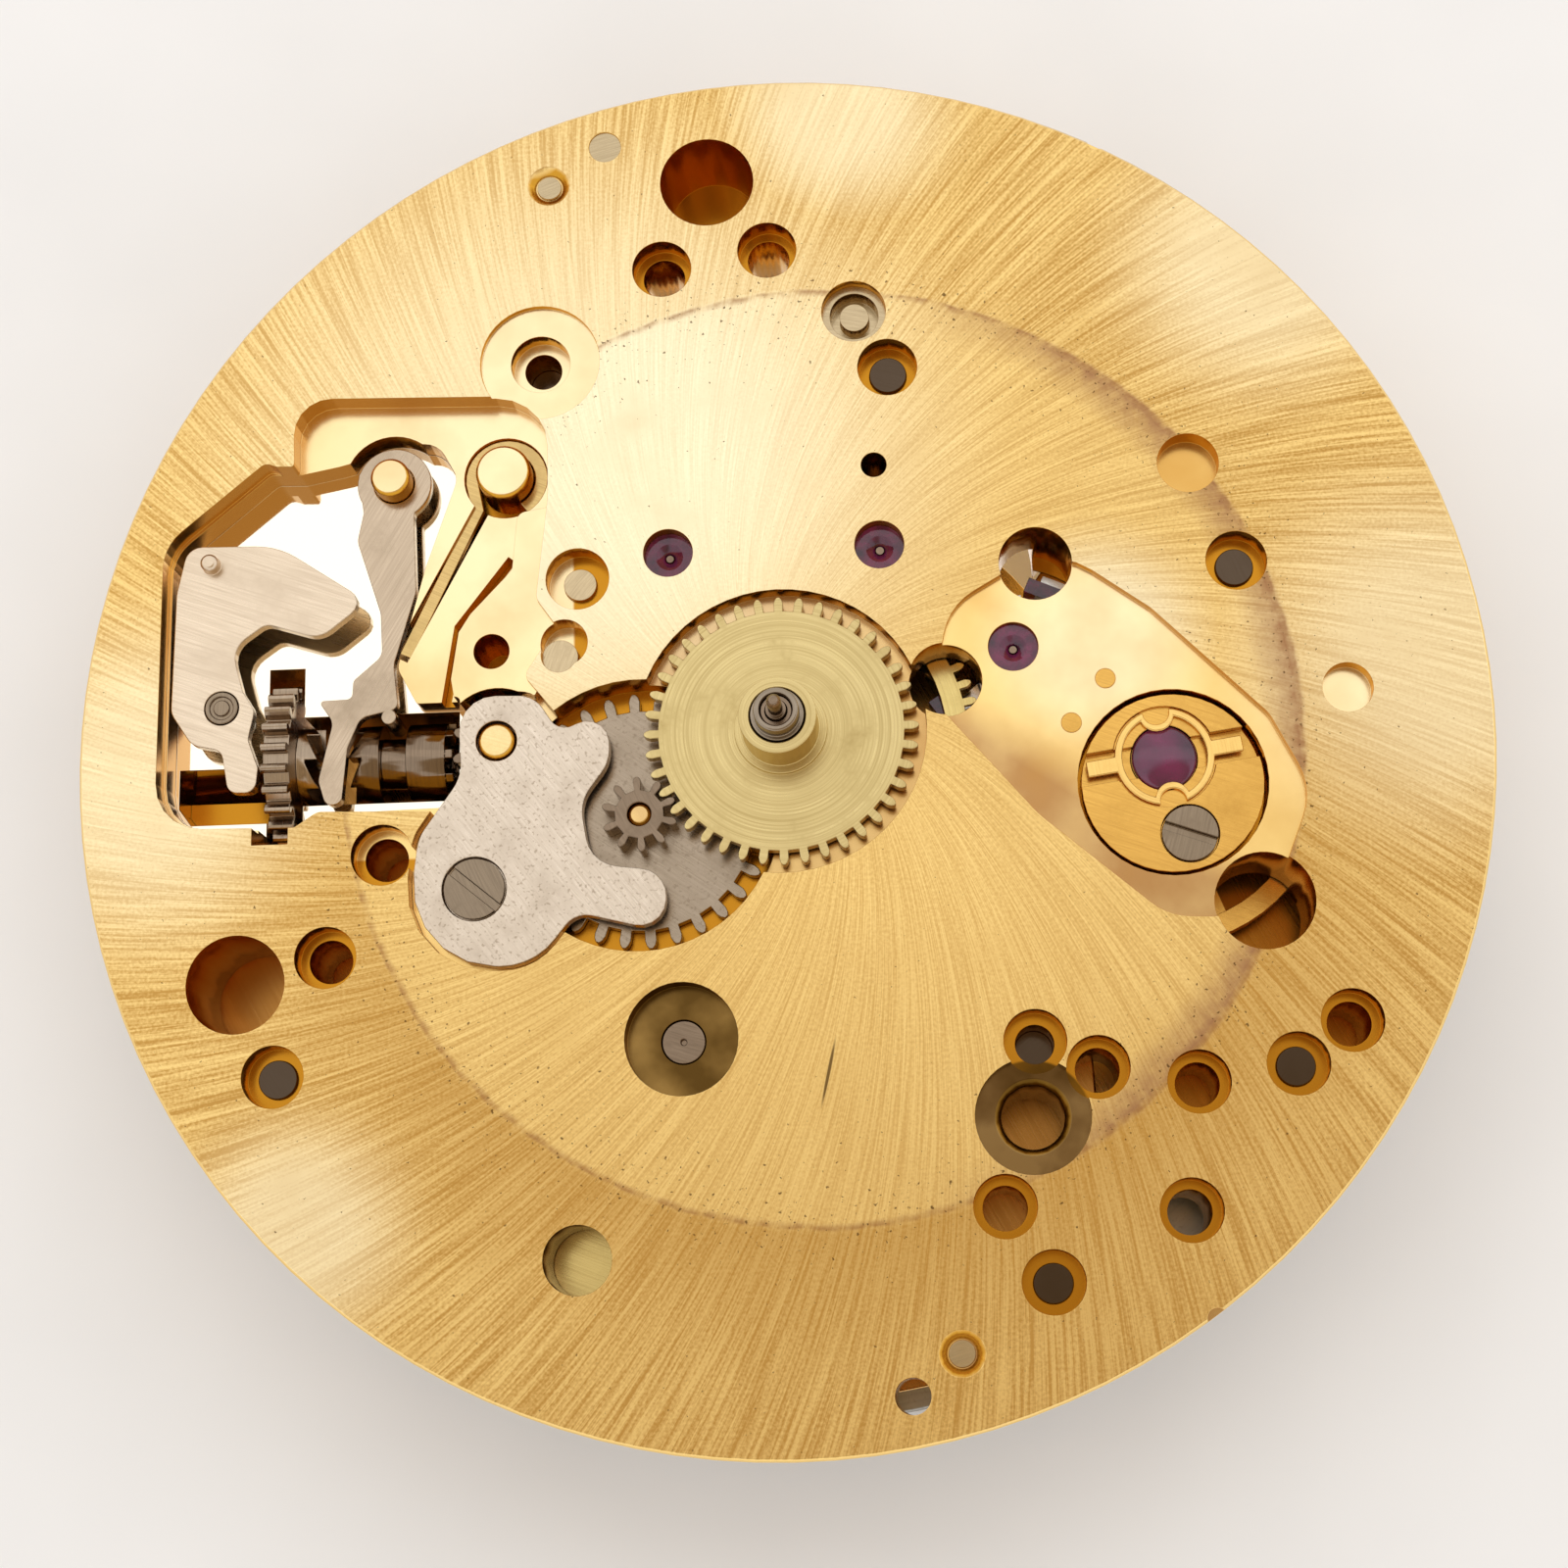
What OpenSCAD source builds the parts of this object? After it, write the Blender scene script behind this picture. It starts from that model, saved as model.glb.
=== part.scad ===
// Automatic watch movement with direct centre seconds, modelled dial side up.
// Millimetres. The origin is on the hands' axis in the plane of the dial face.
// +Z points at the dial, and the winding stem comes in along -X.

/* [Main plate] */
// Diameter of the flange that the case holds
plate_d = 28; // [27.6:0.1:28.6]
// Thickness of the flange
flange_t = 0.6; // [0.4:0.05:0.8]
// Diameter of the plate below the flange
body_d = 27.1; // [26.9:0.1:27.3]
// Thickness from the dial face to the bridges' seat
plate_t = 2.6; // [2.56:0.02:2.8]
// Depth of the web that is left above the going train
web_t = 1.1; // [1.06:0.01:1.14]
// Chamfer on the rim
rim_chamfer = 0.06; // [0.02:0.01:0.12]
// Radius of the dial foot holes
foot_hole_r = 0.34; // [0.3:0.01:0.4]
// Place of the open dial foot hole
foot_at = [2.17, -12.87]; // [-13:0.01:13]
// Place of the dial foot hole that is stopped with a pin
stub_at = [-3.4, 12.68]; // [-13:0.01:13]
// Radius of the counterbores on the dial side
counterbore_r = 0.61; // [0.58:0.01:0.64]
// Depth of the counterbores on the dial side
counterbore_depth = 0.55; // [0.45:0.05:0.65]
// Radius of the narrow part of the stepped holes
step_hole_r = 0.43; // [0.38:0.01:0.48]
// Radius of the large casing holes
casing_hole_r = 0.97; // [0.9:0.01:1]

/* [Hands and motion work] */
// Place of the minute wheel's stud
minute_at = [-2.83, -1.6]; // [-4:0.01:4]
// Teeth of the hour wheel
hour_teeth = 40; // [38:1:42]
// Leaves of the minute pinion
minute_leaves = 10; // [9:1:11]
// Teeth of the minute wheel
minute_teeth = 30; // [29:1:31]
// Leaves of the cannon pinion
cannon_leaves = 10; // [9:1:11]
// Teeth of the setting wheel
setting_teeth = 10; // [10:1:11]
// Thickness of the hour wheel
hour_t = 0.28; // [0.24:0.01:0.3]
// Thickness of the minute wheel
minute_t = 0.25; // [0.2:0.01:0.28]
// Radius of the hour wheel's pipe, where the hour hand sits
hour_pipe_r = 0.76; // [0.74:0.01:0.8]
// Height of the hour pipe above the dial face
hour_pipe_h = 1.15; // [1:0.05:1.3]
// Radius of the cannon pinion inside the hour pipe
cannon_r = 0.52; // [0.5:0.01:0.54]
// Radius of the cannon pinion's top, where the minute hand sits
cannon_seat_r = 0.44; // [0.42:0.005:0.45]
// Height of the cannon pinion above the dial face
cannon_h = 1.6; // [1.5:0.05:1.8]
// Radius of the seconds pivot, where the seconds hand sits
seconds_r = 0.14; // [0.13:0.005:0.15]
// Height of the seconds pivot above the dial face
seconds_h = 2.3; // [2.2:0.05:2.6]
// Radius of the seconds arbor below the hand's seat
seconds_arbor_r = 0.2; // [0.19:0.005:0.205]
// Depth of the hour wheel's recess
hour_recess = 0.45; // [0.42:0.01:0.5]
// Depth of the minute wheel's recess
minute_recess = 0.9; // [0.88:0.01:0.94]

/* [Going train] */
// Place of the barrel
barrel_at = [-2.06, -6.06]; // [-10:0.01:10]
// Place of the third wheel
third_at = [-2.19, 3.74]; // [-10:0.01:10]
// Place of the escape wheel
escape_at = [2.06, 3.74]; // [-10:0.01:10]
// Place of the pallet fork
pallet_at = [4.65, 1.56]; // [-10:0.01:10]
// Place of the balance
balance_at = [7.53, -0.78]; // [-10:0.01:10]
// Teeth of the barrel
barrel_teeth = 72; // [70:1:74]
// Leaves of the centre pinion
centre_leaves = 12; // [12:1:13]
// Teeth of the centre wheel
centre_teeth = 64; // [62:1:66]
// Leaves of the third pinion
third_leaves = 8; // [8:1:9]
// Teeth of the third wheel
third_teeth = 60; // [58:1:60]
// Leaves of the seconds pinion
seconds_leaves = 8; // [8:1:9]
// Teeth of the seconds wheel
seconds_teeth = 70; // [68:1:70]
// Leaves of the escape pinion
escape_leaves = 7; // [7:1:8]
// Thickness of the train wheels
wheel_t = 0.16; // [0.14:0.01:0.18]
// Radius of the train arbors
arbor_r = 0.24; // [0.22:0.01:0.26]
// Radius of the train pivots
pivot_r = 0.08; // [0.07:0.005:0.09]
// Clearance round a pivot or a post
running = 0.02; // [0.015:0.005:0.03]
// Clearance round a wheel in its pocket
pocket_gap = 0.16; // [0.14:0.01:0.2]

/* [Barrel] */
// Radius of the drum
drum_r = 5.15; // [5:0.05:5.2]
// Wall of the drum
drum_wall = 0.22; // [0.18:0.01:0.26]
// Thickness of the toothed flange
drum_flange_t = 0.35; // [0.3:0.01:0.4]
// Thickness of the drum's floor
drum_floor = 0.16; // [0.14:0.01:0.2]
// Thickness of the mainspring
mainspring_t = 0.12; // [0.1:0.01:0.14]
// Turns of the mainspring
mainspring_turns = 9; // [7:1:10]
// Radius of the arbor inside the drum
core_r = 1.1; // [1:0.05:1.2]
// Radius of the arbor's bearings
barrel_pivot_r = 0.42; // [0.4:0.01:0.44]

/* [Escapement and balance] */
// Teeth of the escape wheel
club_teeth = 15; // [15:1:15]
// Radius of the pallet stones' circle on the escape wheel
lock_r = 2.9; // [2.86:0.01:2.94]
// Width of a pallet stone
stone_w = 0.32; // [0.28:0.01:0.34]
// Length of the lever from its arbor to the bottom of its slot
lever_l = 2.72; // [2.68:0.01:2.78]
// Radius of the balance rim
balance_r = 3.42; // [3.3:0.01:3.45]
// Width of the balance rim
balance_rim_w = 0.42; // [0.35:0.01:0.5]
// Thickness of the balance rim
balance_rim_t = 0.42; // [0.38:0.01:0.45]
// Radius of the impulse jewel's circle
impulse_r = 0.78; // [0.74:0.01:0.8]
// Turns of the hairspring
hairspring_turns = 11; // [9:1:13]
// Outer radius of the hairspring
hairspring_r = 2.15; // [2:0.05:2.3]
// Radius of the banking pins
banking_r = 0.2; // [0.18:0.01:0.22]
// Distance of the banking pins from the pallet arbor along the lever
banking_along = 1.85; // [1.8:0.01:1.9]
// Distance of each banking pin from the lever's middle line
banking_off = 0.565; // [0.55:0.005:0.58]

/* [Shock settings] */
// Place of the round block on the dial side
block_at = [7.66, -1.31]; // [-10:0.01:10]
// Radius of the round block
block_r = 1.79; // [1.75:0.01:1.8]
// Gap round the block
block_gap = 0.08; // [0.06:0.01:0.1]
// Place of the block's screw
block_screw_at = [7.94, -2.34]; // [-10:0.01:10]
// Radius of the cap jewels
cap_r = 0.64; // [0.6:0.01:0.66]
// Outer radius of the shock setting
setting_r = 0.86; // [0.84:0.01:0.9]

/* [Keyless work] */
// Depth of the stem's axis below the dial face
stem_depth = 1.75; // [1.74:0.01:1.8]
// Radius of the stem's bore
stem_r = 0.5; // [0.5:0.005:0.52]
// Radius of the channel between the bore and the winding pinion
stem_channel_r = 0.7; // [0.69:0.005:0.72]
// Width of the sliding pinion's square hole
stem_square = 0.46; // [0.44:0.005:0.47]
// Radius of the bores of the winding and sliding pinions
pinion_bore_r = 0.34; // [0.33:0.002:0.344]
// Depth of the mirror-bright floor
keyless_depth = 1.2; // [1.15:0.01:1.22]
// Depth of the ledge and the bars beside it
ledge_depth = 0.55; // [0.5:0.01:0.6]
// Teeth of the winding pinion
winding_teeth = 23; // [22:1:24]
// Width of the winding pinion's teeth
winding_w = 0.52; // [0.48:0.01:0.56]
// Side of the winding pinion that faces the case, measured from the axis
winding_x = -10.4; // [-10.45:0.01:-10.35]
// Radius of the sliding pinion
clutch_r = 0.8; // [0.76:0.01:0.82]
// Radius of the groove in the sliding pinion
clutch_groove_r = 0.52; // [0.5:0.01:0.56]
// Ratchet teeth between winding pinion and sliding pinion
clutch_teeth = 8; // [7:1:9]
// Height of the ratchet teeth
clutch_tooth = 0.26; // [0.22:0.01:0.28]
// Gap between the two sets of ratchet teeth
clutch_gap = 0.62; // [0.55:0.01:0.66]
// Length of the sliding pinion
clutch_l = 2.12; // [2.06:0.01:2.14]
// Place of the yoke's post
yoke_at = [-7.87, 5.65]; // [-14:0.01:14]
// Radius of the yoke's post
yoke_post_r = 0.4; // [0.36:0.01:0.44]
// Radius of the yoke's round head
yoke_head_r = 0.76; // [0.72:0.01:0.8]
// Place of the post that the yoke spring winds round
spring_post_at = [-5.55, 5.66]; // [-14:0.01:14]
// Radius of the spring's post
spring_post_r = 0.56; // [0.52:0.01:0.58]
// Diameter of the yoke spring's wire
wire_d = 0.16; // [0.14:0.01:0.18]
// Place of the setting lever's screw
lever_at = [-11.27, 0.97]; // [-14:0.01:14]
// Thickness of the setting lever and the yoke
lever_t = 0.27; // [0.24:0.01:0.3]

/* [Bridges and winding wheels] */
// Thickness of the barrel and train bridges
bridge_t = 0.8; // [0.76:0.01:0.84]
// Height of the train bridge's relief over the seconds wheel
bridge_relief = 0.36; // [0.34:0.01:0.4]
// Radius of the barrel and train bridges' outer edge
bridge_r = 12.9; // [12.7:0.05:13]
// Teeth of the ratchet wheel
ratchet_teeth = 70; // [68:1:72]
// Teeth of the crown wheel
crown_teeth = 46; // [45:1:47]
// Thickness of the ratchet and crown wheels
ratchet_t = 0.27; // [0.24:0.01:0.28]
// Thickness of the balance cock
cock_t = 0.65; // [0.6:0.01:0.68]
// Radius of the large screw heads
screw_head_r = 0.72; // [0.68:0.01:0.76]
// Radius of the large screws
screw_r = 0.38; // [0.34:0.01:0.4]
// Width of the screw slots
slot_w = 0.17; // [0.14:0.01:0.2]

/* [Automatic work] */
// Thickness of the automatic bridge
auto_t = 0.75; // [0.7:0.01:0.8]
// Radius of the automatic bridge's middle
auto_r = 6.4; // [6.3:0.05:6.6]
// Teeth of the rotor's gear and of the reversing wheels
rotor_teeth = 26; // [26:1:28]
// Module of the rotor's gear
rotor_module = 0.15; // [0.145:0.001:0.152]
// Teeth of the reduction wheel
reduction_teeth = 48; // [46:1:48]
// Leaves of the reversing and reduction pinions
auto_leaves = 8; // [8:1:9]
// Radius of the rotor
rotor_r = 13.3; // [13:0.05:13.4]
// Width of the rotor's heavy rim
rotor_rim_w = 1.9; // [1.7:0.05:2]
// Height of the rotor's heavy rim
rotor_rim_h = 2.2; // [2:0.05:2.2]
// Thickness of the rotor's plate
rotor_t = 0.4; // [0.34:0.01:0.45]
// Angle that the rotor's rim spans
rotor_span = 180; // [170:1:190]

/* [Hidden] */
$fn = 64;

centre_at = [0, 0];

// Levels, as heights above the dial face
sink = 0.2;
seat_z = -plate_t;
web_z = -web_t;
stem_z = -stem_depth;
floor_z = -keyless_depth;
ledge_z = -ledge_depth;
flush_z = -0.02;
hour_top_z = flush_z;
hour_low_z = hour_top_z - hour_t;
minute_low_z = 0.05 - minute_recess;
minute_top_z = minute_low_z + minute_t;
setting_low_z = minute_low_z - 0.25;
cannon_low_z = minute_low_z;
centre_top_z = web_z - 0.1;
centre_low_z = centre_top_z - wheel_t;
drum_top_z = centre_low_z - 0.14;
drum_low_z = seat_z + 0.08;
centre_leaf_low_z = drum_top_z - drum_flange_t - 0.05;
escape_top_z = centre_low_z - 0.17;
escape_low_z = escape_top_z - 0.13;
fork_top_z = escape_low_z - 0.05;
fork_low_z = fork_top_z - 0.18;
third_top_z = centre_leaf_low_z - 0.18;
third_low_z = third_top_z - wheel_t;
seconds_top_z = seat_z - 0.12;
seconds_low_z = seconds_top_z - wheel_t;
relief_z = seat_z - bridge_relief;
bridge_z = seat_z - bridge_t;
ratchet_top_z = bridge_z + sink;
ratchet_low_z = ratchet_top_z - ratchet_t;
cock_top_z = seat_z - 0.7;
cock_low_z = cock_top_z - cock_t;
pallet_seat_z = fork_low_z - 0.16;
pallet_cock_low_z = pallet_seat_z - 0.32;
balance_top_z = seat_z + 0.18;
auto_top_z = cock_low_z - 0.1;
auto_low_z = auto_top_z - auto_t;
rotor_top_z = auto_low_z - 0.15;
rotor_low_z = rotor_top_z - rotor_t - 0.55;
rotor_gear_z = auto_low_z + 0.06;
bearing_low_z = rotor_low_z + 0.26;
bearing_top_z = bearing_low_z + 0.34;
bearing_mid_z = (bearing_low_z + bearing_top_z) / 2;

// Small gears: modules follow the distances between the arbors
function polar(r, a) = r * [cos(a), sin(a)];
function unit(v) = v / norm(v);
function heading(a, b) = atan2(b.y - a.y, b.x - a.x);
function gear_module(d, n1, n2) = 2 * d / (n1 + n2);
// Turns a second gear so that its gap faces the first gear's tooth
function mesh_phase(dir, phase, n, n2) = dir + 180 - ((phase - dir) * n + 180) / n2;

minute_d = norm(minute_at);
hour_m = gear_module(minute_d, hour_teeth, minute_leaves);
minute_m = gear_module(minute_d, minute_teeth, cannon_leaves);
setting_d = minute_m * (minute_teeth + setting_teeth) / 2;
setting_at = [minute_at.x - sqrt(setting_d * setting_d - minute_at.y * minute_at.y), 0];
barrel_m = gear_module(norm(barrel_at), barrel_teeth, centre_leaves);
centre_m = gear_module(norm(third_at), centre_teeth, third_leaves);
third_m = gear_module(norm(third_at), third_teeth, seconds_leaves);
seconds_m = gear_module(norm(escape_at), seconds_teeth, escape_leaves);

minute_phase = mesh_phase(heading(centre_at, minute_at), 0, cannon_leaves, minute_teeth);
setting_phase = mesh_phase(heading(minute_at, setting_at), minute_phase, minute_teeth, setting_teeth);
minute_leaf_phase = mesh_phase(heading(centre_at, minute_at), 0, hour_teeth, minute_leaves);
centre_leaf_phase = mesh_phase(heading(barrel_at, centre_at), 0, barrel_teeth, centre_leaves);
third_leaf_phase = mesh_phase(heading(centre_at, third_at), 0, centre_teeth, third_leaves);
seconds_leaf_phase = mesh_phase(heading(third_at, centre_at), 0, third_teeth, seconds_leaves);
escape_leaf_phase = mesh_phase(heading(centre_at, escape_at), 0, seconds_teeth, escape_leaves);

minute_tip_r = minute_m * (minute_teeth / 2 + 1);
hour_tip_r = hour_m * (hour_teeth / 2 + 1);
setting_tip_r = minute_m * (setting_teeth / 2 + 1);
barrel_tip_r = barrel_m * (barrel_teeth / 2 + 1);
centre_tip_r = centre_m * (centre_teeth / 2 + 1);
third_tip_r = third_m * (third_teeth / 2 + 1);
seconds_tip_r = seconds_m * (seconds_teeth / 2 + 1);
escape_turn = heading(escape_at, pallet_at);
lever_turn = heading(pallet_at, balance_at);
lever_d = norm(balance_at - pallet_at);

// Winding wheels
winding_tip_r = 1.69;
winding_pitch_r = winding_tip_r * winding_teeth / (winding_teeth + 2);
winding_mid_x = winding_x + winding_w / 2;
// The crown wheel's rim stands over the winding pinion, and its centre on the stem's line
crown_r = 3.11;
crown_at = [winding_mid_x + crown_r, 0];
ratchet_m = gear_module(norm(barrel_at - crown_at), ratchet_teeth, crown_teeth);
ratchet_tip_r = ratchet_m * (ratchet_teeth / 2 + 0.9);
crown_tip_r = ratchet_m * (crown_teeth / 2 + 0.9);
crown_phase = mesh_phase(heading(barrel_at, crown_at), 0, ratchet_teeth, crown_teeth);
// The winding pinion's lowest tooth stands in one of the crown wheel's gaps
crown_step = 360 / crown_teeth;
crown_gap = crown_phase + (round((180 - crown_phase) / crown_step - 0.5) + 0.5) * crown_step;
winding_phase = asin(crown_r * sin(crown_gap) / winding_pitch_r);
click_at = barrel_at + polar(6.1, 170);
click_foot_at = click_at + [-1.0, 0.9] + polar(1.0, 106);
click_nose = barrel_at + polar(ratchet_tip_r + 0.03, 158);

// Automatic gears
rotor_gear_r = rotor_module * rotor_teeth / 2;
reverser_d = 2 * rotor_gear_r;
reduction_at = barrel_at + polar(ratchet_m * (ratchet_teeth + auto_leaves) / 2, 40);
reduction_m = 0.12;
reduction_d = reduction_m * (reduction_teeth + auto_leaves) / 2;
// Each reversing wheel meets both the rotor's gear and the reduction wheel
reverser_along = (reverser_d * reverser_d - reduction_d * reduction_d
    + reduction_at * reduction_at) / (2 * norm(reduction_at));
reverser_across = sqrt(reverser_d * reverser_d - reverser_along * reverser_along);
reduction_dir = unit(reduction_at);
reduction_side = [-reduction_dir.y, reduction_dir.x];
reverser_1_at = reverser_along * reduction_dir + reverser_across * reduction_side;
reverser_2_at = reverser_along * reduction_dir - reverser_across * reduction_side;

// Keyless places along the stem
winding_hub_x = winding_x + winding_w + 0.18;
clutch_ratchet_x = winding_hub_x + clutch_tooth + clutch_gap;
clutch_body_x = clutch_ratchet_x + clutch_tooth;
clutch_end_x = clutch_ratchet_x + clutch_l;
clutch_crown = 0.16;
clutch_groove_x = clutch_body_x + 0.63;
slot_x0 = winding_x - 0.1;
stem_channel_x = -12.3;
slot_x1 = winding_x + winding_w + 0.1;
window_x1 = clutch_end_x + 0.1;
window_half = clutch_r + 0.12;

// Outlines as corners [x, y, radius]
keyless_outline = [[-9.8, 5.78, 0.15], [-9.84, 7.36, 0.75], [-4.62, 7.2, 1.1], [-4.62, 5.0, 0.8],
    [-4.86, 2.9, 0.3], [-4.45, 2.3, 0.15], [-5.1, 1.3, 0.2], [-4.3, 0.3, 0.1], [-4.9, -1.0, 0.1],
    [-6.7, -1.4, 0.1], [-9.2, -1.32, 0.3], [-9.66, -1.62, 0.1], [-12.44, -1.56, 0.95],
    [-12.44, 4.3, 1.0], [-10.4, 6.0, 0.2]];
// The mirror-bright floor on the left, with a bay round the yoke's head
deep_outline = [[-9.8, 5.9, 0.1], [-9.0, 6.05, 0.3], [-7.0, 6.55, 0.5], [-6.55, 5.7, 0.4],
    [-7.2, 3.8, 0.3], [-7.75, 1.7, 0.3], [-7.35, 0.95, 0.1], [-6.4, 0.95, 0.1], [-6.4, -1.2, 0.1],
    [-9.2, -1.25, 0.3], [-9.66, -1.55, 0.1], [-12.38, -1.5, 0.9], [-12.38, 4.25, 0.95],
    [-10.4, 5.92, 0.2]];
island_outline = [[-5.25, 4.75, 0.2], [-4.4, 4.9, 0.1], [-4.3, 2.2, 0.1], [-4.9, 0.9, 0.1],
    [-6.5, 0.8, 0.1], [-6.68, 1.9, 0.5], [-6.2, 2.66, 0.3], [-5.36, 3.55, 0.2]];
bar_b_outline = [[-6.05, 5.0, 0.15], [-5.42, 4.8, 0.2], [-5.36, 3.7, 0.2], [-6.42, 2.66, 0.2],
    [-6.85, 0.9, 0.1], [-7.5, 0.9, 0.1], [-7.68, 1.55, 0.1]];
cover_outline = [[-6.45, 0.95, 0.7], [-4.9, 0.9, 0.6], [-4.4, 0.1, 0.35], [-3.45, 0.65, 0.45],
    [-3.4, -0.5, 0.8], [-4.0, -1.3, 0.8], [-3.8, -2.55, 0.7], [-2.3, -2.75, 0.55],
    [-2.35, -3.95, 0.5], [-4.1, -3.5, 0.5], [-4.9, -4.55, 1.3], [-7.5, -4.45, 1.7],
    [-7.2, -1.9, 0.9], [-6.35, -0.7, 0.9]];
yoke_outline = [[-8.63, 6.0, 0.1], [-8.5, 5.05, 0.15], [-8.62, 4.45, 0.4], [-8.12, 2.9, 0.5],
    [-8.08, 2.0, 0.3], [-8.66, 1.5, 0.15], [-8.68, 1.12, 0.12], [-9.36, 1.1, 0.06],
    [-9.06, 0.65, 0.3], [-9.34, -0.55, 0.3], [-9.16, -1.14, 0.2], [-8.86, -1.0, 0.15],
    [-8.76, 0.1, 0.4], [-8.5, 0.72, 0.3], [-7.74, 0.88, 0.15], [-7.84, 1.8, 0.5],
    [-7.4, 3.3, 0.6], [-7.46, 5.0, 0.2], [-7.12, 5.5, 0.2]];
lever_outline = [[-12.26, 3.4, 0.5], [-12.05, 4.4, 0.35], [-10.2, 4.35, 1.6], [-8.35, 3.1, 0.3],
    [-9.3, 2.35, 0.5], [-10.4, 2.7, 0.3], [-11.1, 2.2, 0.5], [-10.85, 1.3, 0.25],
    [-10.6, 0.9, 0.3], [-10.72, 0.3, 0.2], [-10.5, -0.3, 0.2], [-10.56, -0.8, 0.22],
    [-11.1, -0.78, 0.22], [-11.25, 0.1, 0.25], [-11.85, 0.22, 0.4], [-12.3, 0.9, 0.4]];
recess_outline = [[3.0, 0.5, 0.6], [3.4, 2.4, 1.3], [5.5, 3.6, 1.5], [7.4, 2.2, 0.8],
    [9.6, -0.05, 0.7], [10.35, -1.6, 1.3], [9.3, -4.1, 1.5], [7.4, -4.0, 1.2], [5.0, -1.9, 2.0]];
barrel_bridge_outline = [[-14, 2.4, 0.1], [-7.6, 3.6, 0.6], [-5.1, 2.3, 0.5], [0, -0.5, 0.1],
    [2.9, -4.1, 0.5], [5.9, -4.9, 1.0], [6.0, -7.9, 1.0], [6.4, -9.8, 1.0], [6.4, -14, 0.1],
    [-14, -14, 0.1]];
train_bridge_outline = [[-7.6, 4.2, 0.6], [-8.2, 8.2, 1.2], [-5.2, 10.2, 1.0], [3.2, 9.8, 1.4],
    [4.6, 6.0, 1.5], [4.3, 2.3, 1.2], [2.75, -2.3, 0.5], [1.2, -2.9, 0.5], [-2.0, -1.3, 0.9],
    [-4.9, 3.0, 0.5]];
cock_outline = [[5.7, -0.6, 1.0], [6.3, 1.2, 1.0], [9.4, 1.2, 1.0], [10.5, -1.2, 1.0],
    [11.6, -4.4, 0.8], [9.2, -7.0, 0.6], [6.7, -6.4, 0.9], [6.0, -3.4, 1.5]];
cock_foot_outline = [[8.6, -4.75, 0.4], [11.5, -4.9, 0.8], [11.6, -7.0, 0.9], [9.4, -8.7, 0.9],
    [7.1, -7.0, 0.9], [6.9, -5.2, 0.5]];
pallet_cock_outline = [[3.95, 1.2, 0.6], [4.3, 2.3, 0.7], [5.9, 4.4, 0.7], [7.6, 4.1, 0.7],
    [7.3, 2.9, 0.6], [5.9, 2.2, 0.8], [5.3, 0.9, 0.6]];

cover_screw_at = [-6.09, -2.97];
// Screws through the bridges, seen as bright ends on the dial side
train_screw_at = [2.34, 7.52];
train_screw_2_at = [-6.6, 6.9];
barrel_screws_at = [[-9.98, -6.53], [4.88, -10.87], [-11.75, -2.3]];
cock_screw_at = [9.71, -6.93];
auto_screws_at = [[9.15, 3.11], [4.73, -6.33], [-4.77, 7.94]];
pallet_screw_at = [6.7, 3.5];
web_pin_at = [-4.02, 3.27];
bush_at = [1.69, 8.77];
stop_at = [-4.4, 1.7];
thread_at = [-5.77, 1.86];
blind_holes_at = [[8.31, 5.2, 0.62, 0.5], [11.17, 0.42, 0.5, 0.35]];
// Windows over the escape wheel, the barrel and the pallets, as x, y and radius
windows_at = [[2.0, 5.43, 0.26], [-4.09, -10.19, 0.66], [5.16, 3.24, 0.73], [3.28, 0.91, 0.73]];
ringed_hole_at = [4.63, -7.76];
rim_pins_at = [[-4.58, 11.85], [3.11, -12.12]];
// Stepped holes that stay empty
open_holes_at = [[-2.24, 9.88], [-0.06, 10.2], [-7.91, -2.24], [-8.99, -4.24], [10.79, -6.14],
    [7.81, -7.21], [4.03, -9.44], [7.53, -9.62], [5.91, -6.87]];
casing_holes_at = [[-1.28, 11.78], [9.29, -3.75], [-10.75, -4.71]];

// Points of an outline whose corners [x, y, r] are rounded
function rounded_corner(a, b, c, steps) =
    let (p = [b.x, b.y], u = unit([a.x, a.y] - p), v = unit([c.x, c.y] - p),
        half = acos(min(1, max(-1, u * v))) / 2,
        reach = b[2] / tan(half), o = p + unit(u + v) * b[2] / sin(half),
        from = heading(o, p + u * reach), to = heading(o, p + v * reach),
        sweep = ((to - from + 540) % 360) - 180)
    [for (i = [0:steps]) o + polar(b[2], from + sweep * i / steps)];
function rounded(corners, steps = 5) =
    let (n = len(corners))
    [for (i = [0:n - 1])
        each rounded_corner(corners[(i + n - 1) % n], corners[i], corners[(i + 1) % n], steps)];
// A flat strip that follows a list of points
function strip(path, w) =
    let (n = len(path),
        side = [for (i = [0:n - 1])
            let (d = unit(path[min(n - 1, i + 1)] - path[max(0, i - 1)])) [-d.y, d.x] * w / 2])
    concat([for (i = [0:n - 1]) path[i] + side[i]], [for (i = [n - 1:-1:0]) path[i] - side[i]]);
function spiral(r0, r1, turns, start, per_turn) =
    [for (i = [0:turns * per_turn]) let (t = i / (turns * per_turn))
        polar(r0 + (r1 - r0) * t, start + 360 * turns * t)];
function tooth_points(n, m, phase, add, ded, fill) =
    let (r = n * m / 2, half = 180 / n * fill)
    [for (i = [0:n - 1])
        for (p = [[-1, -ded], [-1, 0], [-0.72, 0.6 * add], [-0.3, add], [0.3, add],
            [0.72, 0.6 * add], [1, 0], [1, -ded]])
            polar(r + p[1] * m, phase + 360 * i / n + p[0] * half)];

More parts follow.
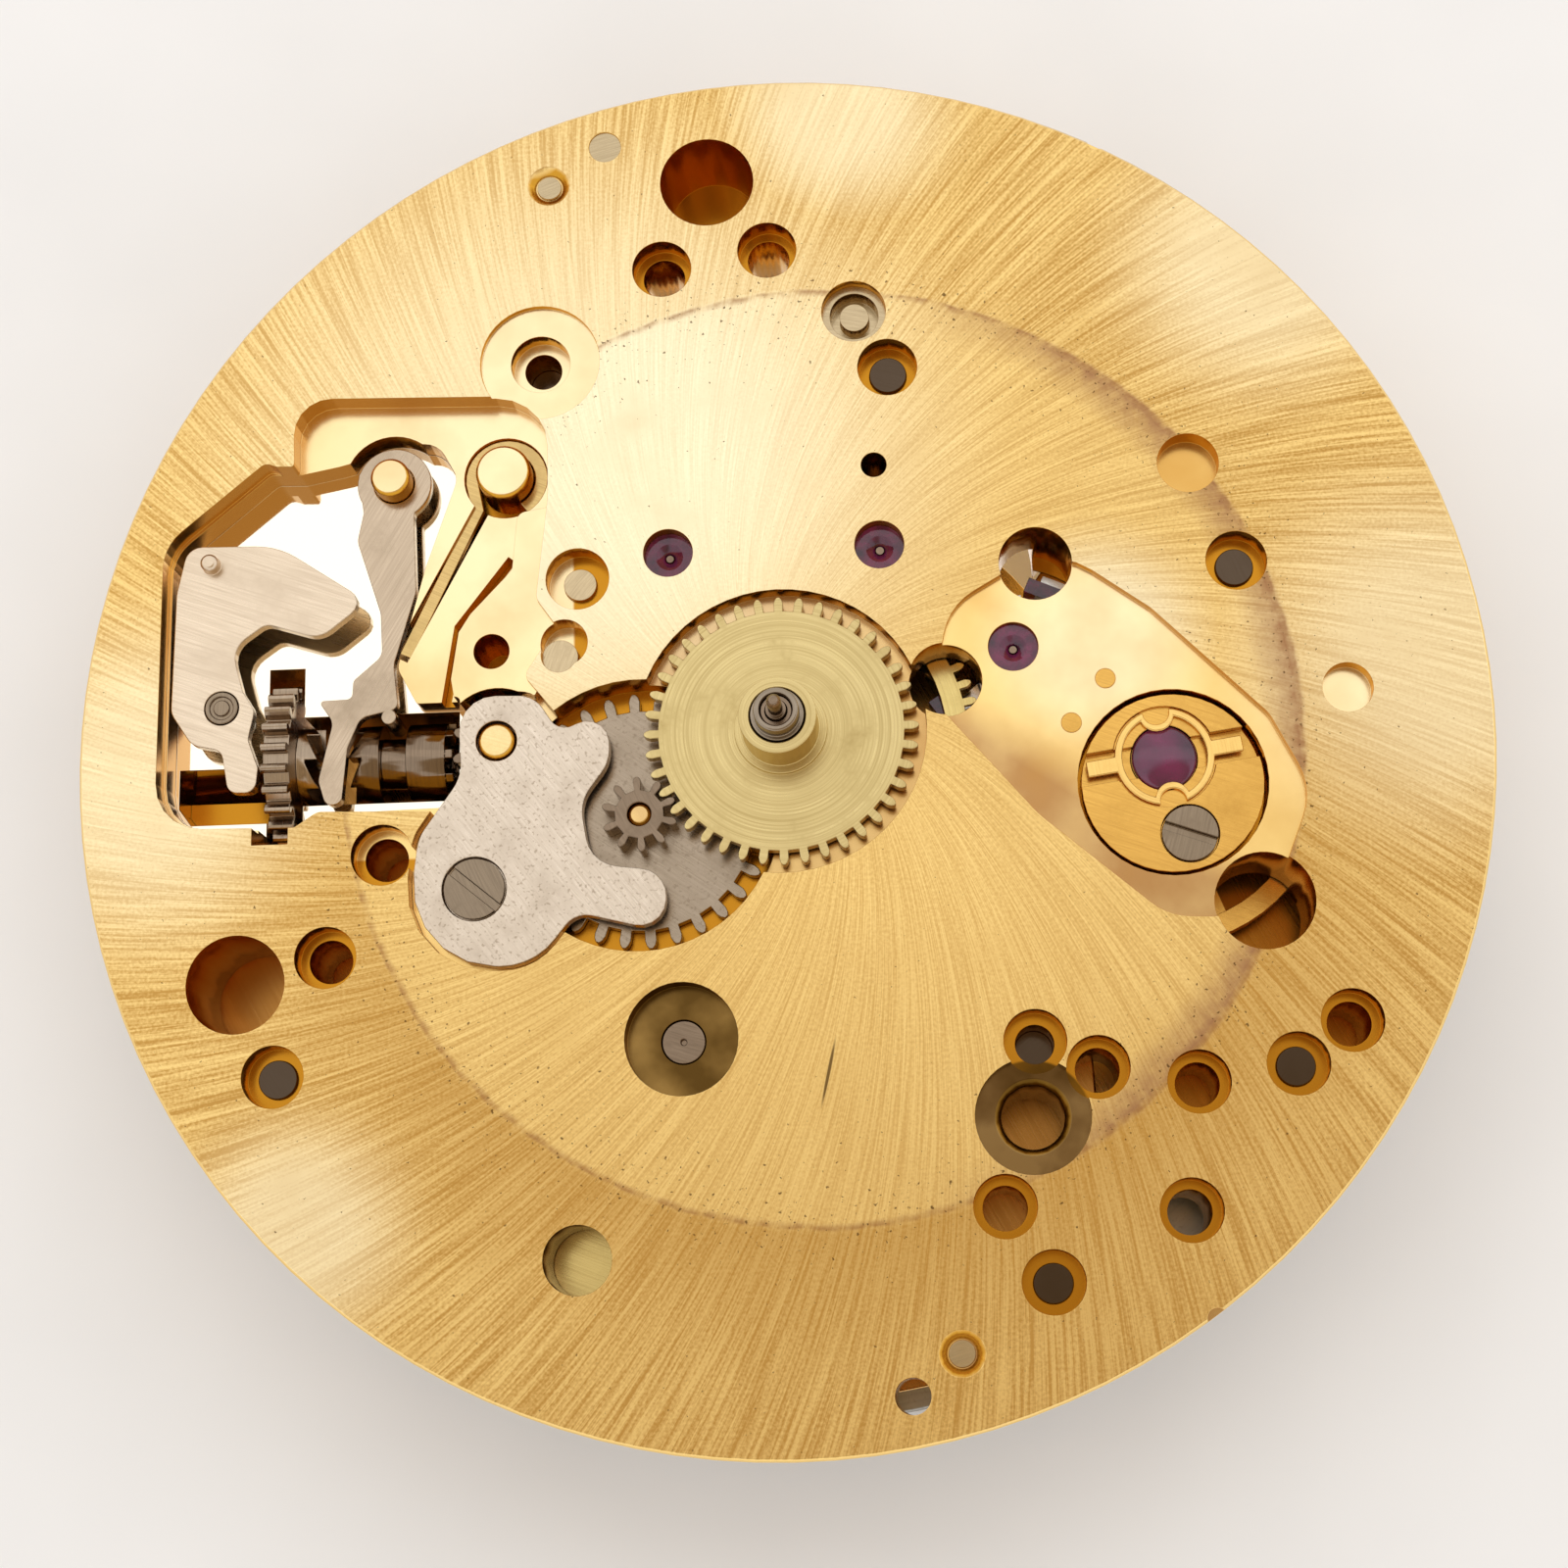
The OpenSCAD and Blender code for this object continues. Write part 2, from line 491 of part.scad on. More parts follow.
module at(p) translate([p.x, p.y, 0]) children();
module slab(low, high) translate([0, 0, low]) linear_extrude(high - low) children();
module disc(r, low, high) translate([0, 0, low]) cylinder(r = r, h = high - low);
module teeth(n, m, phase = 0, add = 0.95, ded = 1.25, fill = 0.44)
    polygon(tooth_points(n, m, phase, add, ded, fill));

// A spoked train wheel
module train_wheel(n, m, low, high, bore, phase = 0, arms = 5, hub = 0.75, rim = 0.42, arm_w = 0.3) {
    inner = m * (n / 2 - 1.25) - rim;
    slab(low, high) difference() {
        teeth(n, m, phase);
        difference() {
            circle(inner);
            circle(hub);
            for (i = [0:arms - 1])
                rotate(phase + 360 * i / arms) translate([0, -arm_w / 2]) square([inner + 0.2, arm_w]);
        }
        circle(bore);
    }
}

// A pinion's leaves round its arbor
module leaves(n, m, low, high, phase = 0, add = 0.8)
    slab(low, high) teeth(n, m, phase, add, 1.25, 0.4);

// A slotted cheese head with its shank, head outwards along +Z
module screw(head_r, head_t, r, l, slot_turn = 0, slot_depth = 0.14) {
    difference() {
        disc(head_r, -head_t, 0);
        rotate(slot_turn) translate([-head_r - 1, -slot_w / 2, -slot_depth])
            cube([2 * head_r + 2, slot_w, slot_depth + 1]);
    }
    disc(r, -head_t - l, -head_t);
}

// A ruby hole jewel with its oil cup on top
module hole_jewel(r, low, high, bore) difference() {
    disc(r, low, high);
    disc(bore, low - 1, high + 1);
    translate([0, 0, high - 0.12]) cylinder(r1 = bore, r2 = r * 0.55, h = 0.1201);
    disc(r * 0.55, high, high + 1);
}

// Main plate

module post(r, low, high) {
    disc(r, low, high - 0.06);
    translate([0, 0, high - 0.06]) cylinder(r1 = r, r2 = r - 0.06, h = 0.06);
}

function banking_place(s) =
    pallet_at + banking_along * polar(1, lever_turn) + s * banking_off * polar(1, lever_turn + 90);

module stepped_hole(p) at(p) {
    disc(counterbore_r, -counterbore_depth, 1);
    disc(step_hole_r, seat_z - 1, 0);
}

module keyless_recess() {
    slab(ledge_z, 1) difference() {
        polygon(rounded(keyless_outline));
        polygon(rounded(island_outline));
    }
    slab(-0.12, 1) polygon(rounded(keyless_outline));
    slab(floor_z, 0) polygon(rounded(deep_outline));
    // Pocket round the spring's post, and the groove that its straight leg lies in
    at(spring_post_at) disc(spring_post_r + 0.3, floor_z, 0);
    at(yoke_at) disc(yoke_head_r + 0.25, floor_z, 0);
    at(lever_at) disc(0.36, seat_z - 1, 0);
    slab(floor_z, 0) polygon(strip([[-6.0, 5.1], [-7.7, 1.9]], 0.34));
    // Cut beside the spring bar
    slab(floor_z + 0.25, 0) polygon(strip([[-5.42, 3.9], [-6.5, 2.5], [-6.75, 0.9]], 0.2));
    // Trench under the setting lever's tail
    slab(-2.1, 0) polygon([[stem_channel_x, -0.1], [slot_x0, -0.1], [slot_x0, -1.25], [-12.05, -1.25],
        [-12.3, -0.9]]);
    // Slot for the winding pinion and window for the sliding pinion
    translate([slot_x0, -1.95, seat_z - 1]) cube([slot_x1 - slot_x0, 3.9, plate_t + 2]);
    translate([slot_x1 - 0.01, -window_half, seat_z - 1])
        cube([window_x1 - slot_x1 + 0.01, 2 * window_half, plate_t - ledge_depth + 1]);
    at(thread_at) disc(0.36, -1.7, 1);
    at(stop_at + [0.1, 0.25]) disc(0.48, -0.6, 1);
    at(stop_at) disc(0.36, -0.9, 1);
}

module motion_recess() {
    disc(hour_tip_r + 0.15, -hour_recess, 1);
    at(minute_at) disc(minute_tip_r + 0.13, -minute_recess, 1);
    disc(minute_m * (cannon_leaves / 2 + 1) + 0.12, -minute_recess, 1);
    at(setting_at) disc(setting_tip_r + 0.12, setting_low_z - 0.05, 1);
    slab(-0.4, 1) polygon(rounded([for (p = cover_outline)
        let (d = unit([p.x, p.y] - [-5.0, -1.9]) * 0.1) [p.x + d.x, p.y + d.y, p[2]]]));
    at(cover_screw_at) disc(0.3, -1.3, 0);
}

module balance_recess() {
    slab(-0.18, 1) polygon(rounded(recess_outline));
    at(block_at) disc(block_r + block_gap, -1.02, 1);
    at(balance_at) disc(setting_r + 0.1, seat_z, 0);
    at(block_screw_at) disc(0.3, -1.4, 0);
}

module back_pockets() {
    below = seat_z - 1;
    at(barrel_at) disc(barrel_tip_r + pocket_gap, below, drum_top_z + 0.08);
    disc(centre_tip_r + pocket_gap, below, web_z);
    at(third_at) {
        disc(third_tip_r + pocket_gap, below, third_top_z + 0.1);
        disc(0.78, below, web_z);
    }
    at(escape_at) {
        disc(lock_r + 0.22, below, escape_top_z + 0.08);
        disc(0.6, below, web_z);
    }
    // Room for the lever and its stones, and the low seat of the pallet cock
    at(pallet_at) disc(2.2, below, escape_top_z + 0.08);
    at(pallet_at) rotate(lever_turn) translate([0, -1.15, below])
        cube([lever_d, 2.3, escape_top_z + 0.08 - below]);
    slab(below, pallet_seat_z) polygon(rounded([for (p = pallet_cock_outline)
        let (d = unit([p.x, p.y] - [5.8, 2.8]) * 0.25) [p.x + d.x, p.y + d.y, p[2]]]));
    at(balance_at) {
        disc(balance_r + 0.3, below, balance_top_z + 0.12);
        disc(1.45, below, -1.32);
    }
}

module main_plate() color("goldenrod") {
    difference() {
        union() {
            disc(plate_d / 2, -flange_t, -rim_chamfer);
            translate([0, 0, -rim_chamfer])
                cylinder(r1 = plate_d / 2, r2 = plate_d / 2 - rim_chamfer, h = rim_chamfer);
            disc(body_d / 2, seat_z, -flange_t);
        }
        keyless_recess();
        motion_recess();
        balance_recess();
        back_pockets();
        for (p = open_holes_at) stepped_hole(p);
        for (p = concat([train_screw_at, cock_screw_at], [for (i = [0:1]) barrel_screws_at[i]],
            auto_screws_at)) at(p) {
            disc(counterbore_r, -counterbore_depth, 1);
            disc(screw_r, seat_z - 1, 0);
        }
        for (p = [train_screw_2_at, barrel_screws_at[2]]) at(p) disc(screw_r, seat_z - 1, seat_z + 0.9);
        at(pallet_screw_at) disc(0.25, seat_z - 1, pallet_seat_z + 0.6);
        for (i = [0:2]) at(casing_holes_at[i])
            disc(casing_hole_r, i == 0 ? seat_z + 0.4 : seat_z - 1, 1);
        at(foot_at) disc(foot_hole_r, seat_z - 1, 1);
        at(stub_at) disc(foot_hole_r, seat_z + 0.5, 1);
        at(bush_at) disc(0.66, -1.2, 1);
        for (w = windows_at) at(w) disc(w[2], -2, 1);
        for (b = blind_holes_at) at(b) disc(b[2], -b[3], 1);
        // Round the barrel arbor, the web pin and the ringed holes
        at(barrel_at) {
            disc(1.1, -0.5, 1);
            disc(barrel_pivot_r + running, -2, 1);
        }
        at(web_pin_at) {
            disc(counterbore_r + 0.03, -counterbore_depth, 1);
            disc(0.33, -1.05, 0);
        }
        at(ringed_hole_at) {
            disc(1.11, -0.18, 1);
            translate([0, 0, -0.3]) cylinder(r1 = counterbore_r, r2 = counterbore_r + 0.12, h = 0.1201);
            disc(counterbore_r, seat_z - 1, 0);
        }
        at(auto_screws_at[2]) disc(1.23, -0.12, 1);
        for (p = rim_pins_at) at(p) {
            translate([0, 0, -0.16]) cylinder(r1 = 0.28, r2 = 0.48, h = 0.2);
            disc(0.25, -1.2, 0);
        }
        // Jewel seats and the centre bore
        for (p = [third_at, escape_at, pallet_at]) at(p) disc(0.5, -2, 1);
        disc(0.46, -2, 0);
        for (s = [-1, 1]) at(banking_place(s)) disc(banking_r, -1.5, 0);
        // The stem's bore
        translate([-plate_d, 0, stem_z]) rotate([0, 90, 0]) cylinder(r = stem_r, h = plate_d + slot_x0 + 0.1);
        intersection() {
            translate([stem_channel_x, 0, stem_z]) rotate([0, 90, 0])
                cylinder(r = stem_channel_r, h = slot_x0 - stem_channel_x + 0.1);
            slab(-plate_t, stem_z + stem_r) square(2 * plate_d, center = true);
        }
        // Small nicks that tools have left on the rim
        rotate(-55.8) translate([plate_d / 2 + 0.05, 0]) disc(0.2, -0.12, 1);
        rotate(61) translate([plate_d / 2 + 0.05, 0]) disc(0.16, -0.1, 1);
    }
    at(yoke_at) post(yoke_post_r, floor_z, -0.12);
    at(spring_post_at) post(spring_post_r, floor_z, -0.1);
    at(setting_at) post(0.36, setting_low_z - 0.05, -0.04);
    at(minute_at) post(0.22, -minute_recess, -0.05);
}

module plate_pins() color("slategray") {
    at(stub_at) disc(foot_hole_r, seat_z + 0.5, -0.04);
    at(web_pin_at) disc(0.33, -1.05, -0.42);
    for (p = rim_pins_at) at(p) disc(0.25, -1.2, -0.1);
    at(bush_at) {
        difference() {
            disc(0.66, -1.2, -0.28);
            disc(0.5, -0.7, 0);
        }
        disc(0.3, -0.7, -0.35);
    }
    at(stop_at) disc(0.36, -0.9, -0.2);
}

module banking_pins() color("gold")
    for (s = [-1, 1]) at(banking_place(s)) disc(banking_r, fork_low_z - 0.1, -0.17);

// Motion work

module hour_wheel() color("khaki") difference() {
    union() {
        slab(hour_low_z, hour_top_z) teeth(hour_teeth, hour_m);
        disc(hour_pipe_r + 0.16, hour_top_z, 0.1);
        disc(hour_pipe_r, 0, hour_pipe_h);
    }
    disc(cannon_r + running + 0.01, -1, 3);
}

module cannon_pinion() color("dimgray") difference() {
    union() {
        leaves(cannon_leaves, minute_m, cannon_low_z, hour_low_z - 0.06);
        disc(cannon_r, hour_low_z - 0.06, hour_pipe_h + 0.05);
        disc(cannon_seat_r, 0, cannon_h - 0.03);
        translate([0, 0, cannon_h - 0.03])
            cylinder(r1 = cannon_seat_r, r2 = cannon_seat_r - 0.03, h = 0.03);
    }
    disc(0.32, -2, cannon_h + 1);
}

module minute_wheel() color("gray") at(minute_at) slab(minute_low_z, minute_top_z) difference() {
    teeth(minute_teeth, minute_m, minute_phase);
    circle(0.4);
}

module minute_pinion() color("dimgray") at(minute_at) difference() {
    union() {
        leaves(minute_leaves, hour_m, minute_top_z, flush_z, minute_leaf_phase);
        disc(0.4, minute_low_z, minute_top_z);
    }
    disc(0.22 + running, -2, 1);
}

module motion_cover() color("lightgray") difference() {
    slab(-0.38, -0.06) polygon(rounded(cover_outline));
    at(setting_at) disc(0.36 + 0.05, -1, 1);
    at(cover_screw_at) {
        disc(0.32, -1, 1);
        disc(0.64, -0.24, 1);
    }
}

module setting_wheel() color("gray") at(setting_at) difference() {
    slab(setting_low_z, -0.44) teeth(setting_teeth, minute_m, setting_phase);
    disc(0.36 + running, -2, 0);
}

// Keyless work

// Ratchet teeth on the end of a short shaft along +X, their steep sides one way
module end_ratchet(r, bore, n, h, flip) {
    step = 360 / n;
    for (i = [0:n - 1]) rotate([i * step, 0, 0]) intersection() {
        rotate([0, 90, 0]) difference() {
            cylinder(r = r, h = h);
            translate([0, 0, -1]) cylinder(r = bore, h = h + 2);
        }
        linear_extrude(r + 1) polygon(flip
            ? [[0, -0.02], [h, -0.02], [0, r * 0.62]]
            : [[0, 0.02], [h, 0.02], [0, -r * 0.62]]);
    }
}

module winding_pinion() color("dimgray") translate([0, 0, stem_z]) difference() {
    union() {
        translate([winding_x, 0, 0]) rotate([0, 90, 0]) linear_extrude(winding_w)
            teeth(winding_teeth, 2 * winding_pitch_r / winding_teeth, winding_phase, 0.9, 1.1, 0.45);
        translate([winding_x, 0, 0]) rotate([0, 90, 0]) cylinder(r = clutch_r, h = winding_hub_x - winding_x);
        translate([winding_hub_x, 0, 0]) end_ratchet(clutch_r, pinion_bore_r, clutch_teeth, clutch_tooth, true);
    }
    translate([-plate_d, 0, 0]) rotate([0, 90, 0]) cylinder(r = pinion_bore_r, h = plate_d);
}

module sliding_pinion() color("gray") translate([0, 0, stem_z]) difference() {
    union() {
        translate([clutch_body_x, 0, 0]) rotate([0, 90, 0]) {
            cylinder(r = clutch_r, h = 0.36);
            cylinder(r = clutch_groove_r, h = clutch_l - clutch_tooth - clutch_crown);
            translate([0, 0, 0.9]) cylinder(r = clutch_r, h = clutch_l - clutch_tooth - clutch_crown - 0.9);
        }
        translate([clutch_body_x, 0, 0]) mirror([1, 0, 0])
            end_ratchet(clutch_r, pinion_bore_r, clutch_teeth, clutch_tooth, true);
        // Crown of small teeth that drives the setting wheel
        for (i = [0:9]) rotate([i * 36, 0, 0])
            translate([clutch_end_x - clutch_crown, -0.09, 0.5]) cube([clutch_crown, 0.18, clutch_r - 0.5]);
    }
    // Square hole for the stem
    translate([-plate_d, -stem_square / 2, -stem_square / 2]) cube([plate_d, stem_square, stem_square]);
}

module setting_lever() color("darkgray") {
    difference() {
        slab(-0.66, -0.66 + lever_t) polygon(rounded(lever_outline));
        at(lever_at) disc(0.35, -2, 0);
    }
    // Pin for the jumper above, and the pin below that holds the stem
    at([-11.54, 3.97]) post(0.18, -0.66 + lever_t, -0.08);
    at([-10.85, -0.45]) disc(0.2, -1.25, -0.66);
}

module setting_lever_screw() color("gray") at(lever_at) difference() {
    union() {
        disc(0.33, bridge_z + 0.06, -0.37);
        disc(0.45, bridge_z + 0.06, bridge_z + 0.3);
    }
    translate([0, 0, -0.42]) difference() {
        disc(0.24, 0, 1);
        disc(0.16, -1, 2);
    }
    rotate(35) translate([-1, -slot_w / 2, bridge_z - 1]) cube([2, slot_w, 1.2]);
}

module yoke() color("silver") difference() {
    union() {
        slab(-0.88, -0.88 + lever_t) polygon(rounded(yoke_outline));
        at(yoke_at) disc(yoke_head_r, -0.88, -0.88 + lever_t);
        // Lug that reaches down into the sliding pinion's groove
        at([clutch_groove_x, 0.72]) disc(0.15, stem_z, -0.88 + lever_t);
    }
    at(yoke_at) disc(yoke_post_r + running, -2, 0);
}

// A wire loop round the post, with a leg along the groove that presses the yoke
module yoke_spring() color("lightsteelblue") {
    loop_r = spring_post_r + wire_d / 2 + 0.02;
    path = concat([for (i = [0:16]) spring_post_at + polar(loop_r, -60 + i * 15.3)],
        [[-6.13, 5.05], [-7.6, 1.98]]);
    slab(-0.8, -0.8 + wire_d) polygon(strip(path, wire_d));
}

// Jewels and the lower shock setting

module plate_jewels() color("purple") {
    for (p = [third_at, escape_at, pallet_at]) at(p) hole_jewel(0.5, -0.75, -0.3, pivot_r + running);
    at(balance_at) hole_jewel(0.5, -0.95, -0.72, 0.07);
}

module lower_shock_block() color("tan") difference() {
    at(block_at) disc(block_r, -1.0, -0.26);
    at(balance_at) {
        disc(0.3, -2, 0);
        disc(0.52, -0.97, 0);
        disc(cap_r + 0.02, -0.6, 0);
        disc(1.02, -0.36, 0);
    }
    // Channel across the block for the spring's ears
    at(balance_at) rotate(8) translate([-3, -0.32, -0.5]) cube([6, 0.64, 1]);
    at(block_screw_at) {
        disc(0.32, -2, 0);
        disc(0.58, -0.5, 0);
    }
}

// Screws of the motion cover and of the shock block
module dial_side_screws() color("slategray") {
    at(cover_screw_at) translate([0, 0, -0.05]) screw(0.6, 0.19, 0.3, 1.0, -40);
    at(block_screw_at) translate([0, 0, -0.24]) screw(0.55, 0.26, 0.3, 0.85, -20);
}

module lower_cap_jewel() color("purple") at(balance_at) {
    disc(cap_r, -0.6, -0.42);
    translate([0, 0, -0.42]) intersection() {
        translate([0, 0, -1.45]) sphere(r = 1.59);
        disc(cap_r, -0.1, 0.3);
    }
}

// A flat lyre: a ring with two drawn-in lobes over the jewel and two ears
module lyre() difference() {
    union() {
        circle(0.98);
        for (s = [0, 180]) rotate(s) translate([0.6, -0.16]) square([0.95, 0.32]);
    }
    difference() {
        circle(0.84);
        for (s = [90, 270]) rotate(s) translate([0.86, 0]) circle(0.34);
    }
    for (s = [90, 270]) rotate(s) translate([0.92, 0]) circle(0.26);
}

module lower_lyre_spring() color("gold") at(balance_at) rotate(8) slab(-0.34, -0.25) difference() {
    lyre();
    circle(cap_r * 0.82);
}

// Barrel

module barrel_drum() color("khaki") at(barrel_at) difference() {
    union() {
        slab(drum_top_z - drum_flange_t, drum_top_z) teeth(barrel_teeth, barrel_m);
        disc(drum_r, drum_low_z, drum_top_z);
    }
    disc(drum_r - drum_wall, drum_low_z - 1, drum_top_z - drum_floor);
    disc(barrel_pivot_r + running, -5, 0);
}

module barrel_cover() color("khaki") at(barrel_at) difference() {
    disc(drum_r - drum_wall, drum_low_z, drum_low_z + 0.15);
    disc(barrel_pivot_r + running, -5, 0);
}

module mainspring() color("lightsteelblue") at(barrel_at)
    slab(drum_low_z + 0.2, drum_top_z - drum_floor - 0.05)
        polygon(strip(spiral(core_r + mainspring_t, drum_r - drum_wall - mainspring_t, mainspring_turns, 0, 24),
            mainspring_t));

module barrel_arbor() color("slategray") at(barrel_at) difference() {
    union() {
        disc(barrel_pivot_r, ratchet_low_z + 0.02, -0.52);
        disc(core_r, drum_low_z + 0.19, drum_top_z - drum_floor - 0.04);
        translate([-0.42, -0.42, ratchet_low_z + 0.02]) cube([0.84, 0.84, ratchet_t - 0.02]);
    }
    disc(0.06, -0.6, 0);
    disc(0.25, -5, ratchet_top_z + 0.8);
}

// Going train

module centre_pinion() color("gray") difference() {
    union() {
        leaves(centre_leaves, barrel_m, centre_leaf_low_z, centre_low_z, centre_leaf_phase);
        disc(0.6, centre_low_z, centre_top_z);
        disc(0.44, centre_top_z, cannon_low_z - 0.04);
        disc(0.3, cannon_low_z - 0.04, cannon_h - 0.12);
    }
    disc(seconds_arbor_r + running, -5, 5);
}

module centre_wheel() color("khaki")
    train_wheel(centre_teeth, centre_m, centre_low_z, centre_top_z, 0.6, 0, 5, 1.0);

module pivoted_arbor(top, bottom) {
    disc(pivot_r, top - 0.35, top);
    disc(arbor_r, bottom + 0.3, top - 0.35);
    disc(pivot_r, bottom, bottom + 0.3);
}

module third_pinion() color("gray") at(third_at) {
    pivoted_arbor(-0.42, relief_z - 0.25);
    leaves(third_leaves, centre_m, centre_low_z - 0.08, centre_top_z + 0.05, third_leaf_phase);
}

module third_wheel() color("khaki") at(third_at)
    train_wheel(third_teeth, third_m, third_low_z, third_top_z, arbor_r);

module seconds_pinion() color("gray") {
    disc(seconds_arbor_r, third_top_z + 0.08, cannon_h);
    disc(seconds_r, cannon_h, seconds_h - 0.1);
    translate([0, 0, seconds_h - 0.1]) cylinder(r1 = seconds_r, r2 = seconds_r * 0.6, h = 0.1);
    leaves(seconds_leaves, third_m, third_low_z - 0.1, third_top_z + 0.08, seconds_leaf_phase);
    disc(arbor_r, relief_z, third_low_z - 0.1);
    disc(pivot_r, relief_z - 0.25, relief_z);
}

module seconds_wheel() color("khaki")
    train_wheel(seconds_teeth, seconds_m, seconds_low_z, seconds_top_z, arbor_r);

module escape_pinion() color("gray") at(escape_at) {
    pivoted_arbor(-0.42, relief_z - 0.25);
    leaves(escape_leaves, seconds_m, seconds_low_z - 0.04, seconds_top_z + 0.08, escape_leaf_phase);
}

// Club teeth, each leaning forward with a sloped impulse face
module escape_wheel() color("silver") at(escape_at) {
    step = 360 / club_teeth;
    rim = lock_r - 0.62;
    rotate(escape_turn + 1.75) slab(escape_low_z, escape_top_z) {
        difference() {
            union() {
                circle(rim);
                for (i = [0:club_teeth - 1]) rotate(i * step) polygon([polar(rim - 0.05, -7),
                    polar(rim + 0.12, -4.2), polar(lock_r - 0.18, -0.9), polar(lock_r + 0.03, 0),
                    polar(lock_r - 0.03, -3.4), polar(rim + 0.2, -7.6), polar(rim - 0.05, -13)]);
            }
            difference() {
                circle(rim - 0.3);
                circle(0.6);
                for (i = [0:3]) rotate(i * 90) translate([0, -0.12]) square([rim - 0.2, 0.24]);
            }
            circle(arbor_r);
        }
    }
}

module pallet_arbor() color("gray") at(pallet_at) {
    disc(pivot_r, -0.78, -0.42);
    disc(0.18, pallet_seat_z + 0.06, -0.78);
    disc(pivot_r, pallet_seat_z - 0.24, pallet_seat_z + 0.06);
}

// Where each stone sits: on the escape wheel's circle, 30 degrees from the line of centres
function stone_place(s) = escape_at + polar(lock_r + 0.2, escape_turn + s * 30);
function stone_turn(s) = escape_turn + s * 30 + 90 + s * -14;

module stone_outline(s) at(stone_place(s)) rotate(stone_turn(s) - 90)
    translate([-0.11, -stone_w / 2]) square([0.74, stone_w]);

module pallet_fork() color("silver") slab(fork_low_z, fork_top_z) difference() {
    union() {
        at(pallet_at) circle(0.5);
        // Two arms that hold the stones
        for (s = [-1, 1]) {
            tip = stone_place(s) + polar(0.42, stone_turn(s) - 90);
            polygon(strip([pallet_at, tip], 0.42));
            at(stone_place(s)) rotate(stone_turn(s) - 90) translate([0.12, -0.36]) square([0.62, 0.72]);
        }
        // The lever with its horns
        at(pallet_at) rotate(lever_turn) {
            translate([0, -0.17]) square([lever_l - 0.35, 0.34]);
            polygon(rounded([[lever_l - 0.6, -0.17, 0.02], [lever_l - 0.15, -0.5, 0.08],
                [lever_l + 0.35, -0.46, 0.05], [lever_l + 0.3, 0, 0.02], [lever_l + 0.35, 0.46, 0.05],
                [lever_l - 0.15, 0.5, 0.08], [lever_l - 0.6, 0.17, 0.02]], 3));
        }
    }
    at(pallet_at) circle(0.18);
    for (s = [-1, 1]) stone_outline(s);
    at(pallet_at) rotate(lever_turn) translate([lever_l, -0.16]) square([1, 0.32]);
}

module pallet_stones() color("crimson")
    for (s = [-1, 1]) slab(fork_low_z, escape_top_z + 0.03) stone_outline(s);

// Balance

module balance_staff() color("gray") at(balance_at) {
    disc(0.05, -0.98, -0.66);
    disc(0.14, -1.2, -0.98);
    disc(0.3, cock_top_z + 0.12, -1.2);
    disc(0.14, cock_top_z - 0.1, cock_top_z + 0.12);
    disc(0.05, cock_top_z - 0.34, cock_top_z - 0.1);
}

module balance_wheel() color("gold") at(balance_at) {
    low = balance_top_z - balance_rim_t;
    difference() {
        disc(balance_r, low, balance_top_z);
        disc(balance_r - balance_rim_w, low - 1, balance_top_z + 1);
    }
    slab(low + 0.1, low + 0.26) difference() {
        union() {
            circle(0.7);
            for (i = [0:2]) rotate(lever_turn + 90 + i * 120) translate([0, -0.2])
                square([balance_r - balance_rim_w + 0.02, 0.4]);
        }
        circle(0.3);
    }
}

module roller() color("silver") at(balance_at) rotate(lever_turn + 180) {
    table_low = fork_low_z - 0.16;
    difference() {
        union() {
            disc(impulse_r + 0.2, table_low, fork_low_z - 0.05);
            disc(0.44, fork_low_z - 0.05, fork_top_z + 0.2);
        }
        disc(0.3, -5, 0);
        translate([0.52, 0, 0]) disc(0.16, fork_low_z - 0.04, 0);
    }
    translate([impulse_r - 0.09, -0.12, fork_low_z - 0.05]) cube([0.17, 0.24, 0.2]);
}

module hairspring() color("lightsteelblue") at(balance_at)
    slab(cock_top_z + 0.1, cock_top_z + 0.24) {
        polygon(strip(spiral(0.5, hairspring_r, hairspring_turns, 0, 28), 0.045));
        difference() {
            circle(0.52);
            circle(0.3);
        }
    }

module pallet_cock() color("goldenrod") difference() {
    slab(pallet_cock_low_z, pallet_seat_z) polygon(rounded(pallet_cock_outline));
    at(pallet_at) disc(0.36, -5, 0);
    at(pallet_screw_at) disc(0.27, -5, 0);
}

// Bridges

// Sunk beds of the ratchet wheel, the crown wheel and the click
module winding_beds() {
    high = ratchet_top_z + 0.05;
    at(barrel_at) disc(ratchet_tip_r + 0.15, bridge_z - 1, high);
    at(crown_at) disc(crown_tip_r + 0.15, bridge_z - 1, high);
    at(click_at + [-0.45, 0.95]) disc(1.55, bridge_z - 1, high);
    at(click_at + [0.7, 0.3]) disc(1.2, bridge_z - 1, high);
}

module train_bridge() color("goldenrod") difference() {
    slab(bridge_z, seat_z) {
        polygon(rounded(train_bridge_outline));
        at(reduction_at) circle(0.7);
    }
    at(reduction_at) disc(pivot_r + running, -5, 0);
    disc(seconds_tip_r + 0.2, relief_z, 0);
    winding_beds();
    at(reduction_at) disc(0.85, bridge_z - 1, ratchet_top_z + 0.03);
    for (p = [third_at, escape_at]) at(p) disc(0.62, relief_z, 0);
    for (p = [centre_at, third_at, escape_at]) at(p) disc(0.5, -5, 0);
    for (p = [train_screw_at, train_screw_2_at]) at(p) {
        disc(screw_r + 0.02, -5, 0);
        disc(screw_head_r + 0.04, bridge_z - 1, bridge_z + 0.35);
    }
    at(auto_screws_at[2]) disc(screw_r + 0.02, -5, 0);
}

